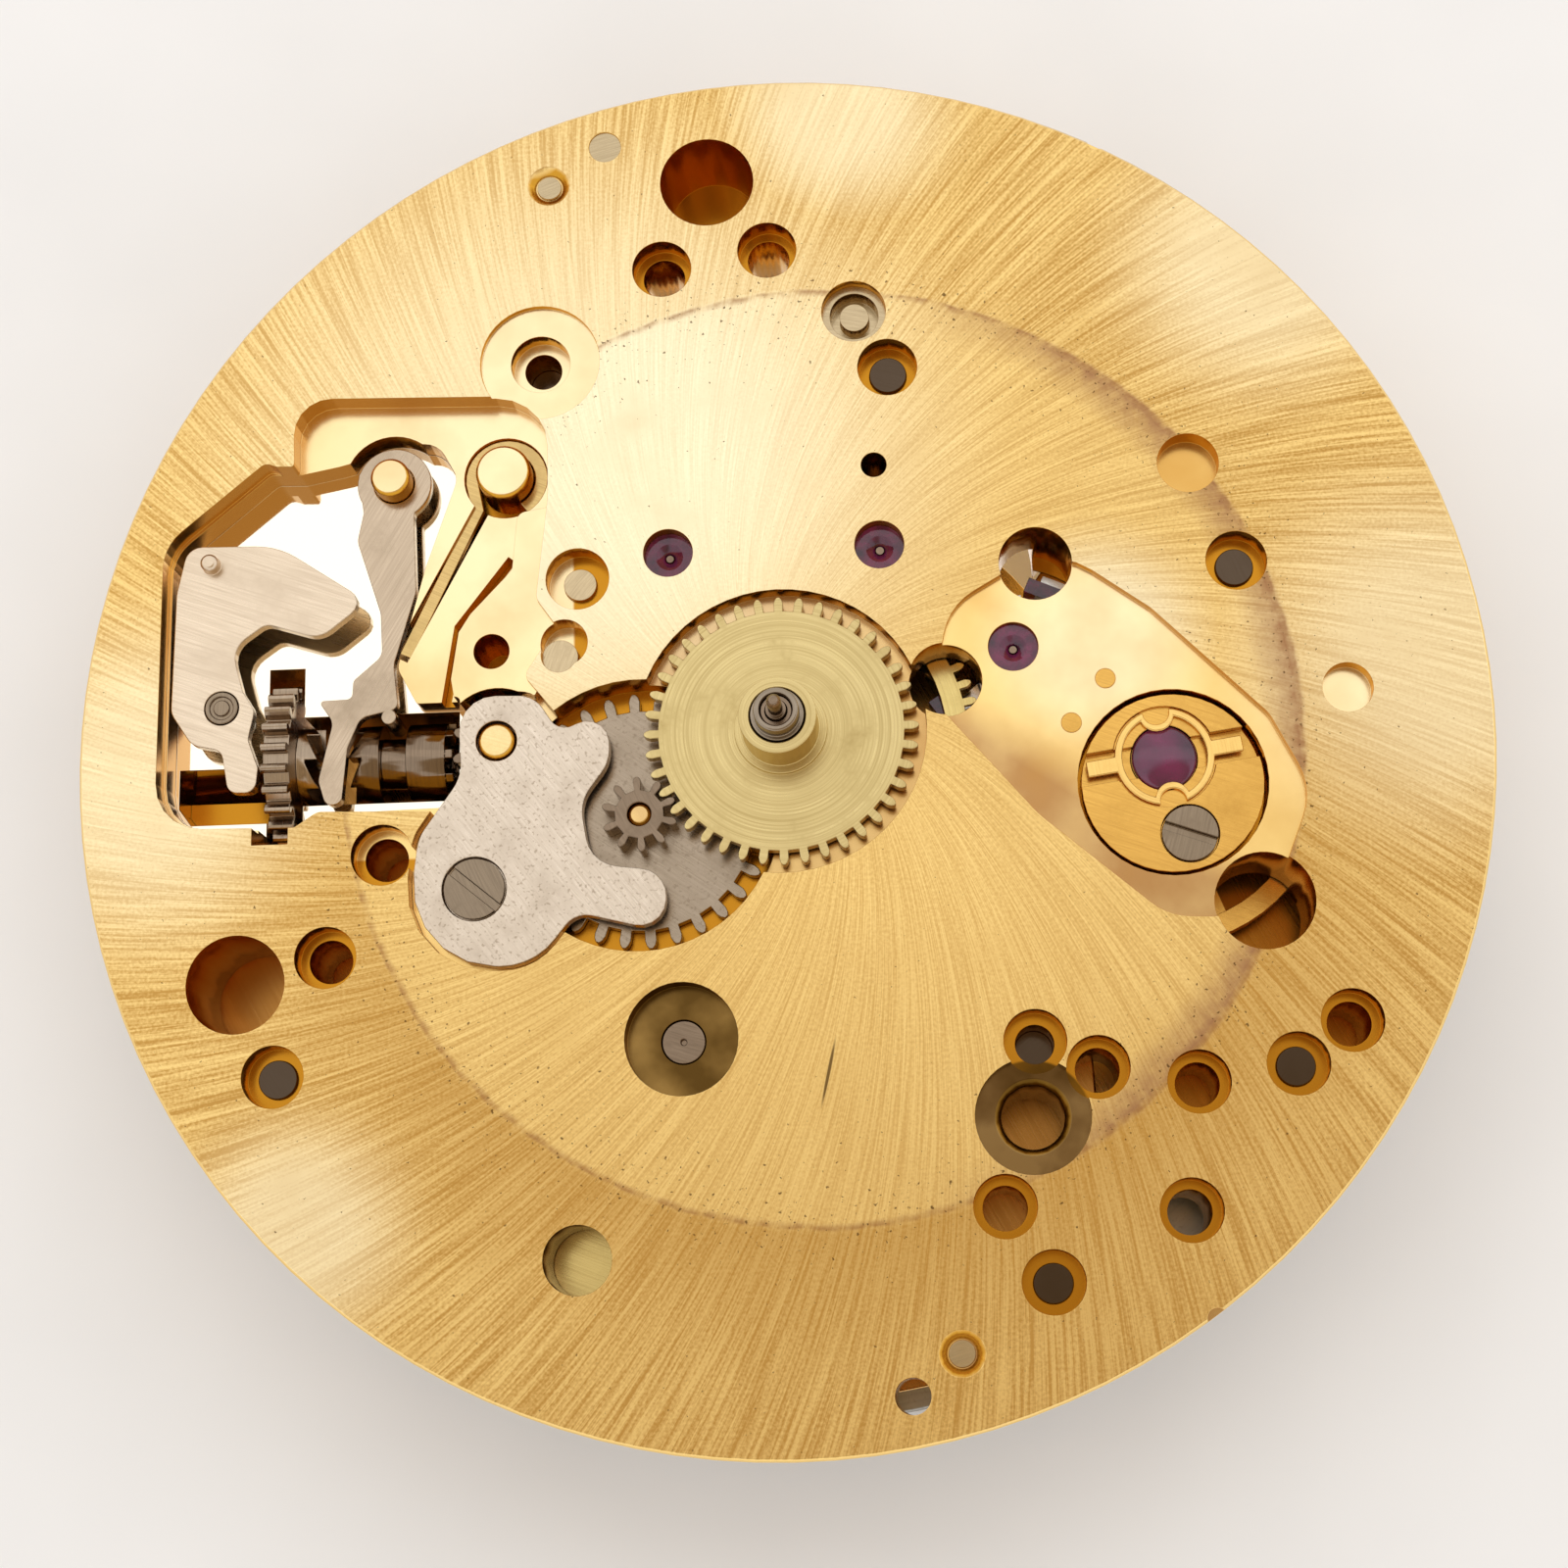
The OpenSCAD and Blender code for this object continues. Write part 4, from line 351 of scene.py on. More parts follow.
@dataclass(frozen=True)
class GiltPlate:
    """Gilt brass of the main plate: swirl-brushed face, deep yellow sinks and darker walls in painted shade,
    one mirror-bright floor.
    """

    name: str = "gilt_brass_swirl_brushed"
    colour: str = "#f6d287"
    # Paler gilt of the wiped spots, which also stands for painted highlight in some of them
    pale: str = "#fdf0cc"
    streak: str = "#be8c40"
    # Painted shade on floors below the face; the same colour also mottles the floors at random
    deep_shade_and_mottle: str = "#bf8222"
    # Painted shade on the walls inside the rim
    wall_shade: str = "#cc9430"
    # Dark brown of the round sinks
    darkening: str = "#4a3312"
    stain: str = "#9a6a48"
    crescent: str = "#a97c56"
    grime: str = "#54391b"
    # Near-white colour of the mirror floor: a painted white reflection on polished gilt
    bright: str = "#fff4de"
    # Fine and wide arcs of the face, and the straight lines of the back
    grain: Grain = Grain(Lay.SWIRL, 0.035, 2.4, 20.0, (0.3, 0.3), 2.6)
    wide: Grain = Grain(Lay.SWIRL, 0.06, 4.0, 23.0, (0.3, 0.3))
    back: Grain = Grain(Lay.STRAIGHT, 0.05, 5.0, 62.0)
    # Sizes of the random patterns: patches, the rag of the stain's edge, blots and pits
    patch_mm: float = 1.8
    rag_mm: float = 0.5
    blot_mm: float = 0.3
    pit_mm: float = 0.09
    # Specks between the lines are finer than the render shows, so this stands for them
    speck_mm: float = 0.06
    # Rings per millimetre in a turned sink, along X, Y and Z
    rings: tuple[float, float, float] = (0.4, 0.4, 20.0)
    stain_at: tuple[float, float] = (0.75, -0.25)
    stain_r: float = 9.5
    # The crescent comes up to the right; the browner surround, with painted shade, grows towards the front
    crescent_x: tuple[float, float] = (2.5, 6.5)
    front_shade_y: tuple[float, float] = (2.0, -6.0)
    # Paler spots, partly where it was wiped clean and partly painted highlight: place and reach
    wiped_and_highlight_spots: Spots = (
        (-4.0, 6.0, 9.5),
        (-12.5, -0.5, 4.5),
        (13.0, 1.0, 5.0),
        (6.3, 1.6, 2.8),
        (10.0, 9.5, 4.0),
        (-9.5, -9.5, 3.0),
        (1.5, 13.2, 3.2),
    )
    # Where dirt gathers besides the stain's edge: place and reach
    dirty: Spots = (
        (-4.4, 7.2, 1.6),
        (-8.3, -1.6, 1.4),
        (7.0, -6.4, 1.3),
        (6.9, 2.5, 0.9),
        (8.3, 1.5, 0.9),
        (9.5, 0.4, 0.8),
    )
    # The floor of the motion work is tinted darker, towards the crescent's colour, out to this radius
    dull_r: float = 3.6
    # and the balance's floor along its near wall, given by the wall's direction inwards and its place
    near_wall: tuple[float, float, float] = (0.563, 0.826, 1.94)
    # where it fades in towards the right
    balance_x: tuple[float, float] = (2.8, 3.4)
    # One scratch: middle, half its width and half its length, and its lean in degrees
    scratch: tuple[float, float, float, float, float] = (0.76, -6.8, 0.038, 0.75, -13.0)
    # Round sinks painted dark brown: place and radius
    dark_sinks: Spots = (
        (-2.06, -6.06, 1.25),
        (4.63, -7.76, 1.1),
        (-4.09, -10.19, 0.72),
    )
    rim_mm: float = 13.0
    floor_mm: float = -1.2
    floor_x_mm: float = -6.3
    # Floors below this are deep yellow, a painted shade
    deep_mm: float = -0.5
    # but the keyless recess has a bright ledge without that shade, which lies left of, behind and above these
    ledge_x_mm: float = -4.2
    ledge_y_mm: float = -2.2
    ledge_mm: float = -0.65

    def brushing(self, s: Shader) -> Socket:
        """Blends fine and wide arcs to one brushed pattern.

        Args:
            s: Tree to build in.

        Returns:
            A socket round 0.5.
        """
        speck = s.add("TexNoise", {"Vector": s.point, "Scale": 1 / self.speck_mm, "Detail": 2.0})
        speck = s.add("Math", (speck, 0.25), **TIMES)
        share = s.add("Math", (self.wide.lines(s), 0.2, speck), operation="MULTIPLY_ADD")
        return s.add("Math", (self.grain.lines(s), 0.55, share), operation="MULTIPLY_ADD")

    def stain_edge(self, s: Shader, patch: Any) -> tuple[Socket, Socket]:
        """Measures the ragged distance from the dial's old stain.

        Args:
            s: Tree to build in.
            patch: Soft random pattern.

        Returns:
            The distance from the stain's centre, and 1 inside it.
        """
        ragged = s.add("TexNoise", {"Vector": s.point, "Scale": 1 / self.rag_mm, "Detail": 5.0})
        both = s.add("Math", (s.add("Math", (patch, ragged), operation="ADD"), 1.0), operation="SUBTRACT")
        edge = s.add("Math", (both, 0.12, s.away(*self.stain_at)), operation="MULTIPLY_ADD")
        r = self.stain_r
        return edge, s.add("MapRange", {"Value": edge, **span(r - 0.1, r + 0.1, 1.0, 0.0)})

    def stains(self, s: Shader, edge: Any, inside: Any, colour: Any) -> Socket:
        """Lays the crescent on the right, the stained line and the browner surround, with painted shade
        towards the front, over a colour.

        Args:
            s: Tree to build in.
            edge: Ragged distance from the stain's centre.
            inside: 1 inside the stain.
            colour: Colour of the unstained face.

        Returns:
            The stained colour.
        """
        r = self.stain_r
        x, y, _ = s.axes
        blots = s.add("TexNoise", {"Vector": s.point, "Scale": 1 / self.blot_mm, "Detail": 3.0})
        band = s.add("MapRange", {"Value": edge, **span(r - 0.85, r - 0.1)})
        right = s.add("MapRange", {"Value": x, **span(*self.crescent_x)})
        mottled = s.add("MapRange", {"Value": blots, **span(0.3, 0.6, 0.6, 0.95)})
        for share in (right, inside, mottled):
            band = s.add("Math", (band, share), **TIMES)
        colour = s.add("Mix", blend(band, colour, self.crescent), **COLOURS)
        rise = s.add("MapRange", {"Value": edge, **span(r - 0.14, r - 0.02)})
        fall = s.add("MapRange", {"Value": edge, **span(r, r + 0.05, 1.0, 0.0)})
        broken = s.add("MapRange", {"Value": blots, **span(0.36, 0.6, 0.1, 0.65)})
        line = s.add("Math", (s.add("Math", (rise, fall), **TIMES), broken), **TIMES)
        colour = s.add("Mix", blend(line, colour, self.stain), **COLOURS)
        # Browner just outside the stain, with painted shade strongest in front
        shade = s.add("MapRange", {"Value": edge, **span(r + 0.05, r + 3.0, 0.5, 0.0)})
        beyond = s.add("Math", (1.0, inside), operation="SUBTRACT")
        front = s.add("MapRange", {"Value": y, **span(*self.front_shade_y, 0.1, 1.0)})
        shade = s.add("Math", (s.add("Math", (shade, beyond), **TIMES), front), **TIMES)
        return s.add("Mix", blend(shade, colour, self.streak), **COLOURS)

    def pits(self, s: Shader, edge: Any) -> Socket:
        """Finds the pits and dirt, which gather near the stain's edge, and the scratch.

        Args:
            s: Tree to build in.
            edge: Ragged distance from the stain's centre.

        Returns:
            The share of grime.
        """
        r = self.stain_r
        near = s.add("MapRange", {"Value": edge, **span(r - 2.4, r)})
        away = s.add("MapRange", {"Value": edge, **span(r, r + 1.2, 1.0, 0.1)})
        near = s.add("Math", (near, away), **TIMES)
        near = s.add("Math", (near, self.spots(s, self.dirty, 0.2)), operation="MAXIMUM")
        grit = s.add("TexNoise", {"Vector": s.point, "Scale": 1 / self.pit_mm, "Detail": 2.0})
        grit = s.add("Math", (near, 0.08, grit), operation="MULTIPLY_ADD")
        grit = s.add("MapRange", {"Value": grit, **span(0.72, 0.77, 0.0, 0.8)})
        at_x, at_y, wide, long, lean = self.scratch
        shape = {"Location": (at_x, at_y, 0.0), "Scale": (wide, long, 1.0)}
        shape["Rotation"] = (0.0, 0.0, math.radians(lean))
        cut = s.add("Mapping", {"Vector": s.point, **shape}, vector_type="TEXTURE")
        cut = s.add("VectorMath", (cut,), "Value", operation="LENGTH")
        cut = s.add("MapRange", {"Value": cut, **span(0.6, 1.0, 0.85, 0.0)})
        return s.add("Math", (grit, cut), operation="MAXIMUM")

    def spots(self, s: Shader, places: Spots, core: float) -> Any:
        """Marks soft round spots.

        Args:
            s: Tree to build in.
            places: Place and reach of each spot.
            core: Share of the reach that is full.

        Returns:
            1 in the spots and 0 away from them.
        """
        joined: Any = 0.0
        for x, y, r in places:
            far = {"Value": s.away(x, y), **span(core * r, r, 1.0, 0.0)}
            spot = s.add("MapRange", far, **SMOOTH)
            joined = s.add("Math", (joined, spot), operation="MAXIMUM")
        return joined

    def sinks(self, s: Shader, upward: Any, patch: Any, clean_and_highlight: Any) -> Socket:
        """Colours what lies below the face: floors, walls and round sinks, with painted shade on the deep
        floors and the walls, and the round sinks painted dark brown.

        Args:
            s: Tree to build in.
            upward: 1 where the surface faces the dial side.
            patch: Soft random pattern.
            clean_and_highlight: 1 in the paler spots, which are partly wiped and partly painted highlight.

        Returns:
            The colour.
        """
        x, y, z = s.axes
        middle = s.away(0.0, 0.0)
        left = s.add("MapRange", {"Value": x, **span(self.ledge_x_mm + 0.05, self.ledge_x_mm)})
        above = s.add("MapRange", {"Value": y, **span(self.ledge_y_mm - 0.05, self.ledge_y_mm)})
        level = s.add("MapRange", {"Value": z, **span(self.ledge_mm - 0.05, self.ledge_mm)})
        deep = s.add("MapRange", {"Value": z, **span(self.deep_mm + 0.03, self.deep_mm - 0.03)})
        ledge = s.add("Math", (s.add("Math", (left, above), **TIMES), level), **TIMES)
        deep = s.add("Math", (deep, ledge), operation="SUBTRACT", use_clamp=True)

        mottled = s.add("MapRange", {"Value": patch, **span(0.35, 0.6, 0.65, 1.0)})
        inner = s.add("MapRange", {"Value": middle, **span(0.9 * self.dull_r, self.dull_r, 0.6, 0.0)})
        inwards_x, inwards_y, start = self.near_wall
        across = s.add("VectorMath", (s.point, (inwards_x, inwards_y, 0.0)), "Value", operation="DOT_PRODUCT")
        along = s.add("MapRange", {"Value": across, **span(start, start + 0.8, 0.85, 0.0)})
        right = s.add("MapRange", {"Value": x, **span(*self.balance_x)})
        dull = s.add("Math", (inner, s.add("Math", (along, right), **TIMES)), operation="MAXIMUM")
        dull = s.add("Math", (dull, mottled), **TIMES)

        # Paler in the wiped spots, some of which are painted highlight
        share = s.add("Math", (clean_and_highlight, 0.6), **TIMES)
        floor = s.add("Mix", blend(share, self.colour, self.pale), **COLOURS)
        floor = s.add("Mix", blend(dull, floor, self.crescent), **COLOURS)
        # Painted shade: floors below the face, but not the keyless ledge, turn deep yellow
        floor = s.add("Mix", blend(deep, floor, self.deep_shade_and_mottle), **COLOURS)
        cloudy = s.add("MapRange", {"Value": patch, **span(0.4, 0.8, 0.0, 0.4)})
        floor = s.add("Mix", blend(cloudy, floor, self.deep_shade_and_mottle), **COLOURS)
        outside = s.add("MapRange", {"Value": middle, **span(self.rim_mm, self.rim_mm + 0.1)})
        # Painted shade: walls inside the rim are darker than the face
        wall_shade = s.add("Mix", blend(outside, self.wall_shade, self.colour), **COLOURS)
        colour = s.add("Mix", blend(upward, wall_shade, floor), **COLOURS)
        # Round sinks painted dark brown, mottled
        for at_x, at_y, r in self.dark_sinks:
            oil = s.add("MapRange", {"Value": s.away(at_x, at_y), **span(r, r + 0.05, 0.92, 0.0)})
            oil = s.add("Math", (oil, mottled), **TIMES)
            colour = s.add("Mix", blend(oil, colour, self.darkening), **COLOURS)
        return colour

    def face(self, s: Shader, brushed: Any, patch: Any, clean_and_highlight: Any) -> Socket:
        """Colours the brushed face with its stains.

        Args:
            s: Tree to build in.
            brushed: Brushed pattern.
            patch: Soft random pattern.
            clean_and_highlight: 1 in the paler spots, which are partly wiped and partly painted highlight.

        Returns:
            The colour.
        """
        edge, inside = self.stain_edge(s, patch)
        marked = s.add("MapRange", {"Value": brushed, **span(0.42, 0.58, 0.0, 0.85)})
        for share, loss in ((inside, -0.35), (clean_and_highlight, -0.7)):
            calm = s.add("Math", (share, loss, 1.0), operation="MULTIPLY_ADD")
            marked = s.add("Math", (marked, calm), **TIMES)
        # Paler where wiped and inside the stain; some of these spots are painted highlight
        share = s.add("Math", (clean_and_highlight, s.add("Math", (inside, 0.3, 0.6), operation="MULTIPLY_ADD")), **TIMES)
        colour = s.add("Mix", blend(share, self.colour, self.pale), **COLOURS)
        cloudy = s.add("MapRange", {"Value": patch, **span(0.48, 0.8, 0.0, 0.3)})
        marked = s.add("Math", (marked, cloudy), operation="MAXIMUM")
        colour = s.add("Mix", blend(marked, colour, self.streak), **COLOURS)
        colour = self.stains(s, edge, inside, colour)
        return s.add("Mix", blend(self.pits(s, edge), colour, self.grime), **COLOURS)

    def mirror(self, s: Shader, upward: Any) -> Socket:
        """Finds the sunk floor under the yoke, which is polished like a mirror.

        Args:
            s: Tree to build in.
            upward: 1 where the surface faces the dial side.

        Returns:
            1 on the floor and 0 elsewhere.
        """
        x, _, z = s.axes
        floor = self.floor_mm
        for value, limits in (
            (z, (floor + 0.06, floor + 0.03)),
            (z, (floor - 0.06, floor - 0.03)),
            (x, (self.floor_x_mm, self.floor_x_mm - 0.1)),
        ):
            share = s.add("MapRange", {"Value": value, **span(*limits)})
            upward = s.add("Math", (upward, share), **TIMES)
        return upward

    def build(self) -> bpy.types.Material:
        """Makes the material.

        Returns:
            The finished material.
        """
        s = Shader(bpy.data.materials.new(self.name))
        normal = s.add("SeparateXYZ", (s.add("NewGeometry", (), "Normal"),), "Z")
        upward = s.add("MapRange", {"Value": normal, **span(0.75, 0.95)})
        top = s.add("MapRange", {"Value": s.axes[2], **span(-0.05, -0.02)})
        top = s.add("Math", (upward, top), **TIMES)
        patch = s.add("TexNoise", {"Vector": s.point, "Scale": 1 / self.patch_mm, "Detail": 4.0})
        # Spots that are partly wiped clean and partly painted highlight
        clean_and_highlight = self.spots(s, self.wiped_and_highlight_spots, 0.25)
        brushed = self.brushing(s)

        sunk = self.sinks(s, upward, patch, clean_and_highlight)
        colour = s.add("Mix", blend(top, sunk, self.face(s, brushed, patch, clean_and_highlight)), **COLOURS)
        lined = s.add("MapRange", {"Value": self.back.lines(s), **span(0.35, 0.65, 0.0, 0.5)})
        plain = s.add("Mix", blend(lined, self.colour, self.streak), **COLOURS)
        downward = s.add("MapRange", {"Value": normal, **span(-0.75, -0.95)})
        colour = s.add("Mix", blend(downward, colour, plain), **COLOURS)

        mirror = self.mirror(s, upward)
        # Painted reflection: the mirror floor takes the near-white colour
        colour = s.add("Mix", blend(mirror, colour, self.bright), **COLOURS)

        rough = s.add("MapRange", {"Value": brushed, **span(0.35, 0.65, 0.26, 0.42)})
        rough = s.add("Mix", {"Factor": top, "A": 0.22, "B": rough})
        rough = s.add("Mix", {"Factor": mirror, "A": rough, "B": 0.05})
        ringed = s.add("VectorMath", (s.point, self.rings), **TIMES)
        ringed = s.add("TexNoise", {"Vector": ringed, "Scale": 1.0, "Detail": 3.0})
        height = s.add("Mix", {"Factor": top, "A": s.add("Math", (ringed, 0.5), **TIMES), "B": brushed})
        calm = s.add("Math", (mirror, -0.98, 1.0), operation="MULTIPLY_ADD")
        height = s.add("Math", (height, calm), **TIMES)
        bump = s.add("Bump", {"Strength": 1.0, "Distance": self.grain.depth_um * MICRON, "Height": height})
        values = {
            "Base Color": colour,
            "Metallic": 1.0,
            "Roughness": rough,
            "Anisotropic": s.add("Math", (top, 0.5), **TIMES),
            "Tangent": self.grain.tangent(s),
            "Normal": bump,
        }
        return s.close(s.add("BsdfPrincipled", values))


@dataclass(frozen=True)
class Ruby:
    """Synthetic ruby: clear, deep red-violet and highly polished."""

    name: str = "synthetic_ruby_polished"
    colour: str = "#97245a"
    dark: str = "#4c1134"
    transmission: float = 0.45
    shine: float = 0.2
    cloud_mm: float = 0.3

    def build(self) -> bpy.types.Material:
        """Makes the material.

        Returns:
            The finished material.
        """
        s = Shader(bpy.data.materials.new(self.name))
        swirl = s.add("TexNoise", {"Vector": s.point, "Scale": 1 / self.cloud_mm, "Detail": 3.0})
        share = s.add("MapRange", {"Value": swirl, **span(0.3, 0.7)})
        colour = s.add("Mix", blend(share, self.colour, self.dark), **COLOURS)
        values = {
            "Base Color": colour,
            "Roughness": s.add("MapRange", {"Value": swirl, **span(0.3, 0.7, 0.03, 0.08)}),
            "IOR": 1.77,
            "Specular IOR Level": self.shine,
            "Transmission Weight": self.transmission,
        }
        return s.close(s.add("BsdfPrincipled", values))


Finish = Union[Metal, GiltPlate, Ruby]

# Each metal by its common name and how it was worked, with what that gives the eye
GILT_SATIN = Metal(
    # Gilt brass, fine-turned: warm yellow with faint short lines
    "gilt_brass_satin", "#eab85f", "#a9742c", roughness=0.24, spread=0.1,
    grain=Grain(Lay.STRAIGHT, 0.04, 1.2, 20, depth_um=0.8), tarnish=0.4,
)
GILT_SPRING = Metal(
    # Gilt spring strip, stamped and polished: bright yellow with soft shiny edges
    "gilt_spring_polished", "#f0c878", "#b8843a", roughness=0.14, spread=0.08,
    grain=Grain(Lay.CIRCULAR, 0.03, 1.0, 0, (7.53, -0.78), 0.5),
)
GILT_BRIDGE = Metal(
    # Gilt brass, straight-grained: warm yellow with long parallel lines, and painted amber shade where it
    # faces the plate
    "gilt_brass_straight_grained", "#efc57c", "#bd8b45", roughness=0.28,
    grain=Grain(Lay.STRAIGHT, 0.05, 6.0, 62, depth_um=1.4), tarnish=0.25, patch_mm=3.0,
    painted_shade_above_mm=-2.64, painted_shade="#9a5d12",
)
# The cock lies deeper, so the painted shade on its side towards the dial starts from a lower height
GILT_COCK = replace(GILT_BRIDGE, name="gilt_brass_cock_grained", painted_shade_above_mm=-3.4)
WHEEL_BRASS = Metal(
    # Brass, turned and circular-brushed: pale yellow with rings round the axis
    "brass_circular_brushed", "#e0c884", "#a98c45", roughness=0.24,
    grain=Grain(Lay.CIRCULAR, 0.04, 3.5, depth_um=1.0), tarnish=0.35, patch_mm=1.4,
)
HOUR_BRASS = Metal(
    # Brass, polished on the lathe: pale yellow with very fine rings and dull films
    "brass_lathe_polished", "#e0ca90", "#937637", spread=0.1,
    grain=Grain(Lay.CIRCULAR, 0.035, 5.0, depth_um=0.6), tarnish=0.5, patch_mm=1.0, streak=0.5,
    anisotropy=0.0,
)
COVER_STEEL = Metal(
    # Steel, cross-stoned flat: pale warm grey with short crossing lines and dark specks
    "steel_cross_stoned", "#e2d2bf", "#94806a", spread=0.14,
    grain=Grain(Lay.STRAIGHT, 0.035, 0.7, 52, depth_um=1.0), tarnish=0.4, patch_mm=0.9, speck=0.55,
)
LEVER_STEEL = Metal(
    # Steel, satin-stoned and slightly tarnished: warm yellow-grey with short lines
    "steel_satin_tarnished", "#e7d3ba", "#a38c70", roughness=0.28,
    grain=Grain(Lay.STRAIGHT, 0.035, 1.2, 20, depth_um=0.8), patch_mm=1.1,
)
YOKE_STEEL = Metal(
    # Steel, straight-grained with an oily film: brownish grey, glossy
    "steel_grained_oiled", "#c9b49b", "#7f6b55", roughness=0.24,
    grain=Grain(Lay.STRAIGHT, 0.035, 1.6, -60, depth_um=0.8), tarnish=0.4, patch_mm=1.0,
)
WHEEL_STEEL = Metal(
    # Steel wheel, stoned: brownish grey with short lines
    "steel_wheel_stoned", "#aa9985", "#7a6855", roughness=0.26,
    grain=Grain(Lay.STRAIGHT, 0.03, 0.9, 35, depth_um=0.7), tarnish=0.35, patch_mm=0.8, streak=0.3, speck=0.4,
)
PINION_STEEL = Metal(
    # Hardened steel, cut and lightly oiled: dark brown-grey, glossy
    "steel_hardened_oiled", "#8f7b67", "#463729", roughness=0.2, spread=0.1,
    grain=Grain(Lay.CIRCULAR, 0.03, 0.6, depth_um=0.5), tarnish=0.4, patch_mm=0.7,
)
CLUTCH_STEEL = Metal(
    # Steel, teeth cut and brushed by use: lighter brown-grey with worn bright flanks
    "steel_cut_worn", "#b5a18b", "#6b5a49", roughness=0.24, spread=0.1,
    grain=Grain(Lay.STRAIGHT, 0.03, 0.6, 90, depth_um=0.5), tarnish=0.35, patch_mm=0.6,
)
CANNON_STEEL = Metal(
    # Hardened steel, turned and blackened by oil: almost black-brown
    "steel_turned_darkened", "#a0917f", "#382e24", roughness=0.2, spread=0.1,
    grain=Grain(Lay.CIRCULAR, 0.03, 1.2, depth_um=0.5), tarnish=0.4, patch_mm=0.5,
)
SCREW_STEEL = Metal(
    # Steel screws, head turned and polished: brown-grey, glossy, dark ends in the open holes
    "steel_screw_polished", "#93816c", "#4b3e32", roughness=0.17, spread=0.08,
    grain=Grain(Lay.CIRCULAR, 0.03, 0.8, depth_um=0.4), tarnish=0.35, patch_mm=0.5,
)
BRIDGE_SCREW_STEEL = Metal(
    # Steel screws of the bridges: bright heads, and painted dark shade on the thread ends where the plate's
    # holes show them
    "steel_screw_bright", "#c3bfb9", "#6d6862", roughness=0.15, spread=0.08,
    grain=Grain(Lay.CIRCULAR, 0.03, 0.8, depth_um=0.4), patch_mm=0.5,
    painted_shade_above_mm=-1.7,
)
STEEL_POLISHED = Metal(
    # Steel, fine-polished: neutral pale grey, almost mirror-like
    "steel_fine_polished", "#cdc8c2", "#7c7771", roughness=0.15, spread=0.08,
    grain=Grain(Lay.CIRCULAR, 0.03, 0.8, depth_um=0.4), tarnish=0.25, patch_mm=0.6,
)
STEEL_SPRING = Metal(
    # Spring steel strip: blue-grey with lines along the blade
    "spring_steel_drawn", "#b4b6bd", "#6f7480", roughness=0.22, spread=0.08,
    grain=Grain(Lay.STRAIGHT, 0.03, 1.0, 70, depth_um=0.5), tarnish=0.25, patch_mm=0.8,
)
PIN_NICKEL = Metal(
    # Nickel silver, turned pins: warm grey, glossy
    "nickel_silver_turned", "#ccb691", "#7a6745", roughness=0.2, spread=0.1,
    grain=Grain(Lay.CIRCULAR, 0.03, 0.8, depth_um=0.4), patch_mm=0.4,
)
SPRING_WIRE = Metal(
    # Drawn spring wire, straw-tempered: gold-grey, glossy
    "spring_wire_straw_tempered", "#d8b778", "#7d5f35", roughness=0.2, spread=0.1,
    grain=Grain(Lay.STRAIGHT, 0.03, 1.0, 25, depth_um=0.5), patch_mm=0.8,
)
TUNGSTEN = Metal(
    # Sintered tungsten alloy, turned: dull grey with fine rings
    "tungsten_sintered_turned", "#a8a49d", "#77736d", roughness=0.34, spread=0.1,
    grain=Grain(Lay.CIRCULAR, 0.06, 6.0, depth_um=1.2), tarnish=0.25, patch_mm=0.6, streak=0.3, speck=0.3,
)
WINDING_STEEL = Metal(
    # Ratchet and crown wheel steel, circular-brushed: bright grey with long arcs
    "steel_circular_brushed", "#d0ccc6", "#8d8882", roughness=0.22, spread=0.1,
    grain=Grain(Lay.CIRCULAR, 0.05, 5.0, 0, (-2.06, -6.06), 1.2), tarnish=0.25, patch_mm=1.5,
)
PLATE = GiltPlate()
RUBY = Ruby()
RUBY_DOME = Ruby("synthetic_ruby_domed", "#9a2460", "#521138", 0.45, 0.32, 0.8)


def turned(
    profile: Sequence[tuple[float, float]], at: tuple[float, float], steps: int = 96
) -> bmesh.types.BMesh:
    """Turns a shape on the lathe, round an upright axis.

    Args:
        profile: Radius and height of each corner, from the axis outwards and back.
        at: Place of the axis.
        steps: Number of steps in a full turn.

    Returns:
        The turned shape.
    """
    bm = bmesh.new()
    corners = [bm.verts.new((r * MM, 0.0, z * MM)) for r, z in profile]
    edges = [bm.edges.new(pair) for pair in zip(corners, corners[1:])]
    bmesh.ops.spin(
        bm, geom=corners + edges, cent=(0, 0, 0), axis=(0, 0, 1), angle=math.tau, steps=steps, use_merge=True
    )
    bmesh.ops.translate(bm, verts=bm.verts, vec=(at[0] * MM, at[1] * MM, 0.0))
    return bm


def drawn(path: Sequence[tuple[float, float]], low: float, high: float, width: float) -> bmesh.types.BMesh:
    """Draws a flat blade along a level path.

    Args:
        path: Points of the blade's middle line.
        low: Height of its underside.
        high: Height of its top.
        width: Width of the blade.

    Returns:
        The closed blade.
    """
    bm = bmesh.new()
    points = [Vector(p) for p in path]
    runs = [(b - a).normalized() for a, b in zip(points, points[1:])]
    ends = [runs[0], *[(a + b).normalized() for a, b in zip(runs, runs[1:])], runs[-1]]
    side = Vector((-ends[0].y, ends[0].x)) * width / 2
    first = [
        bm.verts.new(Vector((points[0].x + k * side.x, points[0].y + k * side.y, z)) * MM)
        for k, z in ((1, low), (-1, low), (-1, high), (1, high))
    ]
    face = bm.faces.new(first)
    for here, there, turn, onward in zip(points, points[1:], ends, ends[1:]):
        made = bmesh.ops.extrude_face_region(bm, geom=[face])["geom"]
        corners = [v for v in made if isinstance(v, bmesh.types.BMVert)]
        bend = Matrix.Rotation(math.atan2(turn.cross(onward), turn.dot(onward)), 3, "Z")
        bmesh.ops.rotate(bm, verts=corners, cent=(here.x * MM, here.y * MM, 0.0), matrix=bend)
        bmesh.ops.translate(bm, verts=corners, vec=((there - here).x * MM, (there - here).y * MM, 0.0))
        face = next(f for f in made if isinstance(f, bmesh.types.BMFace))
    return bm


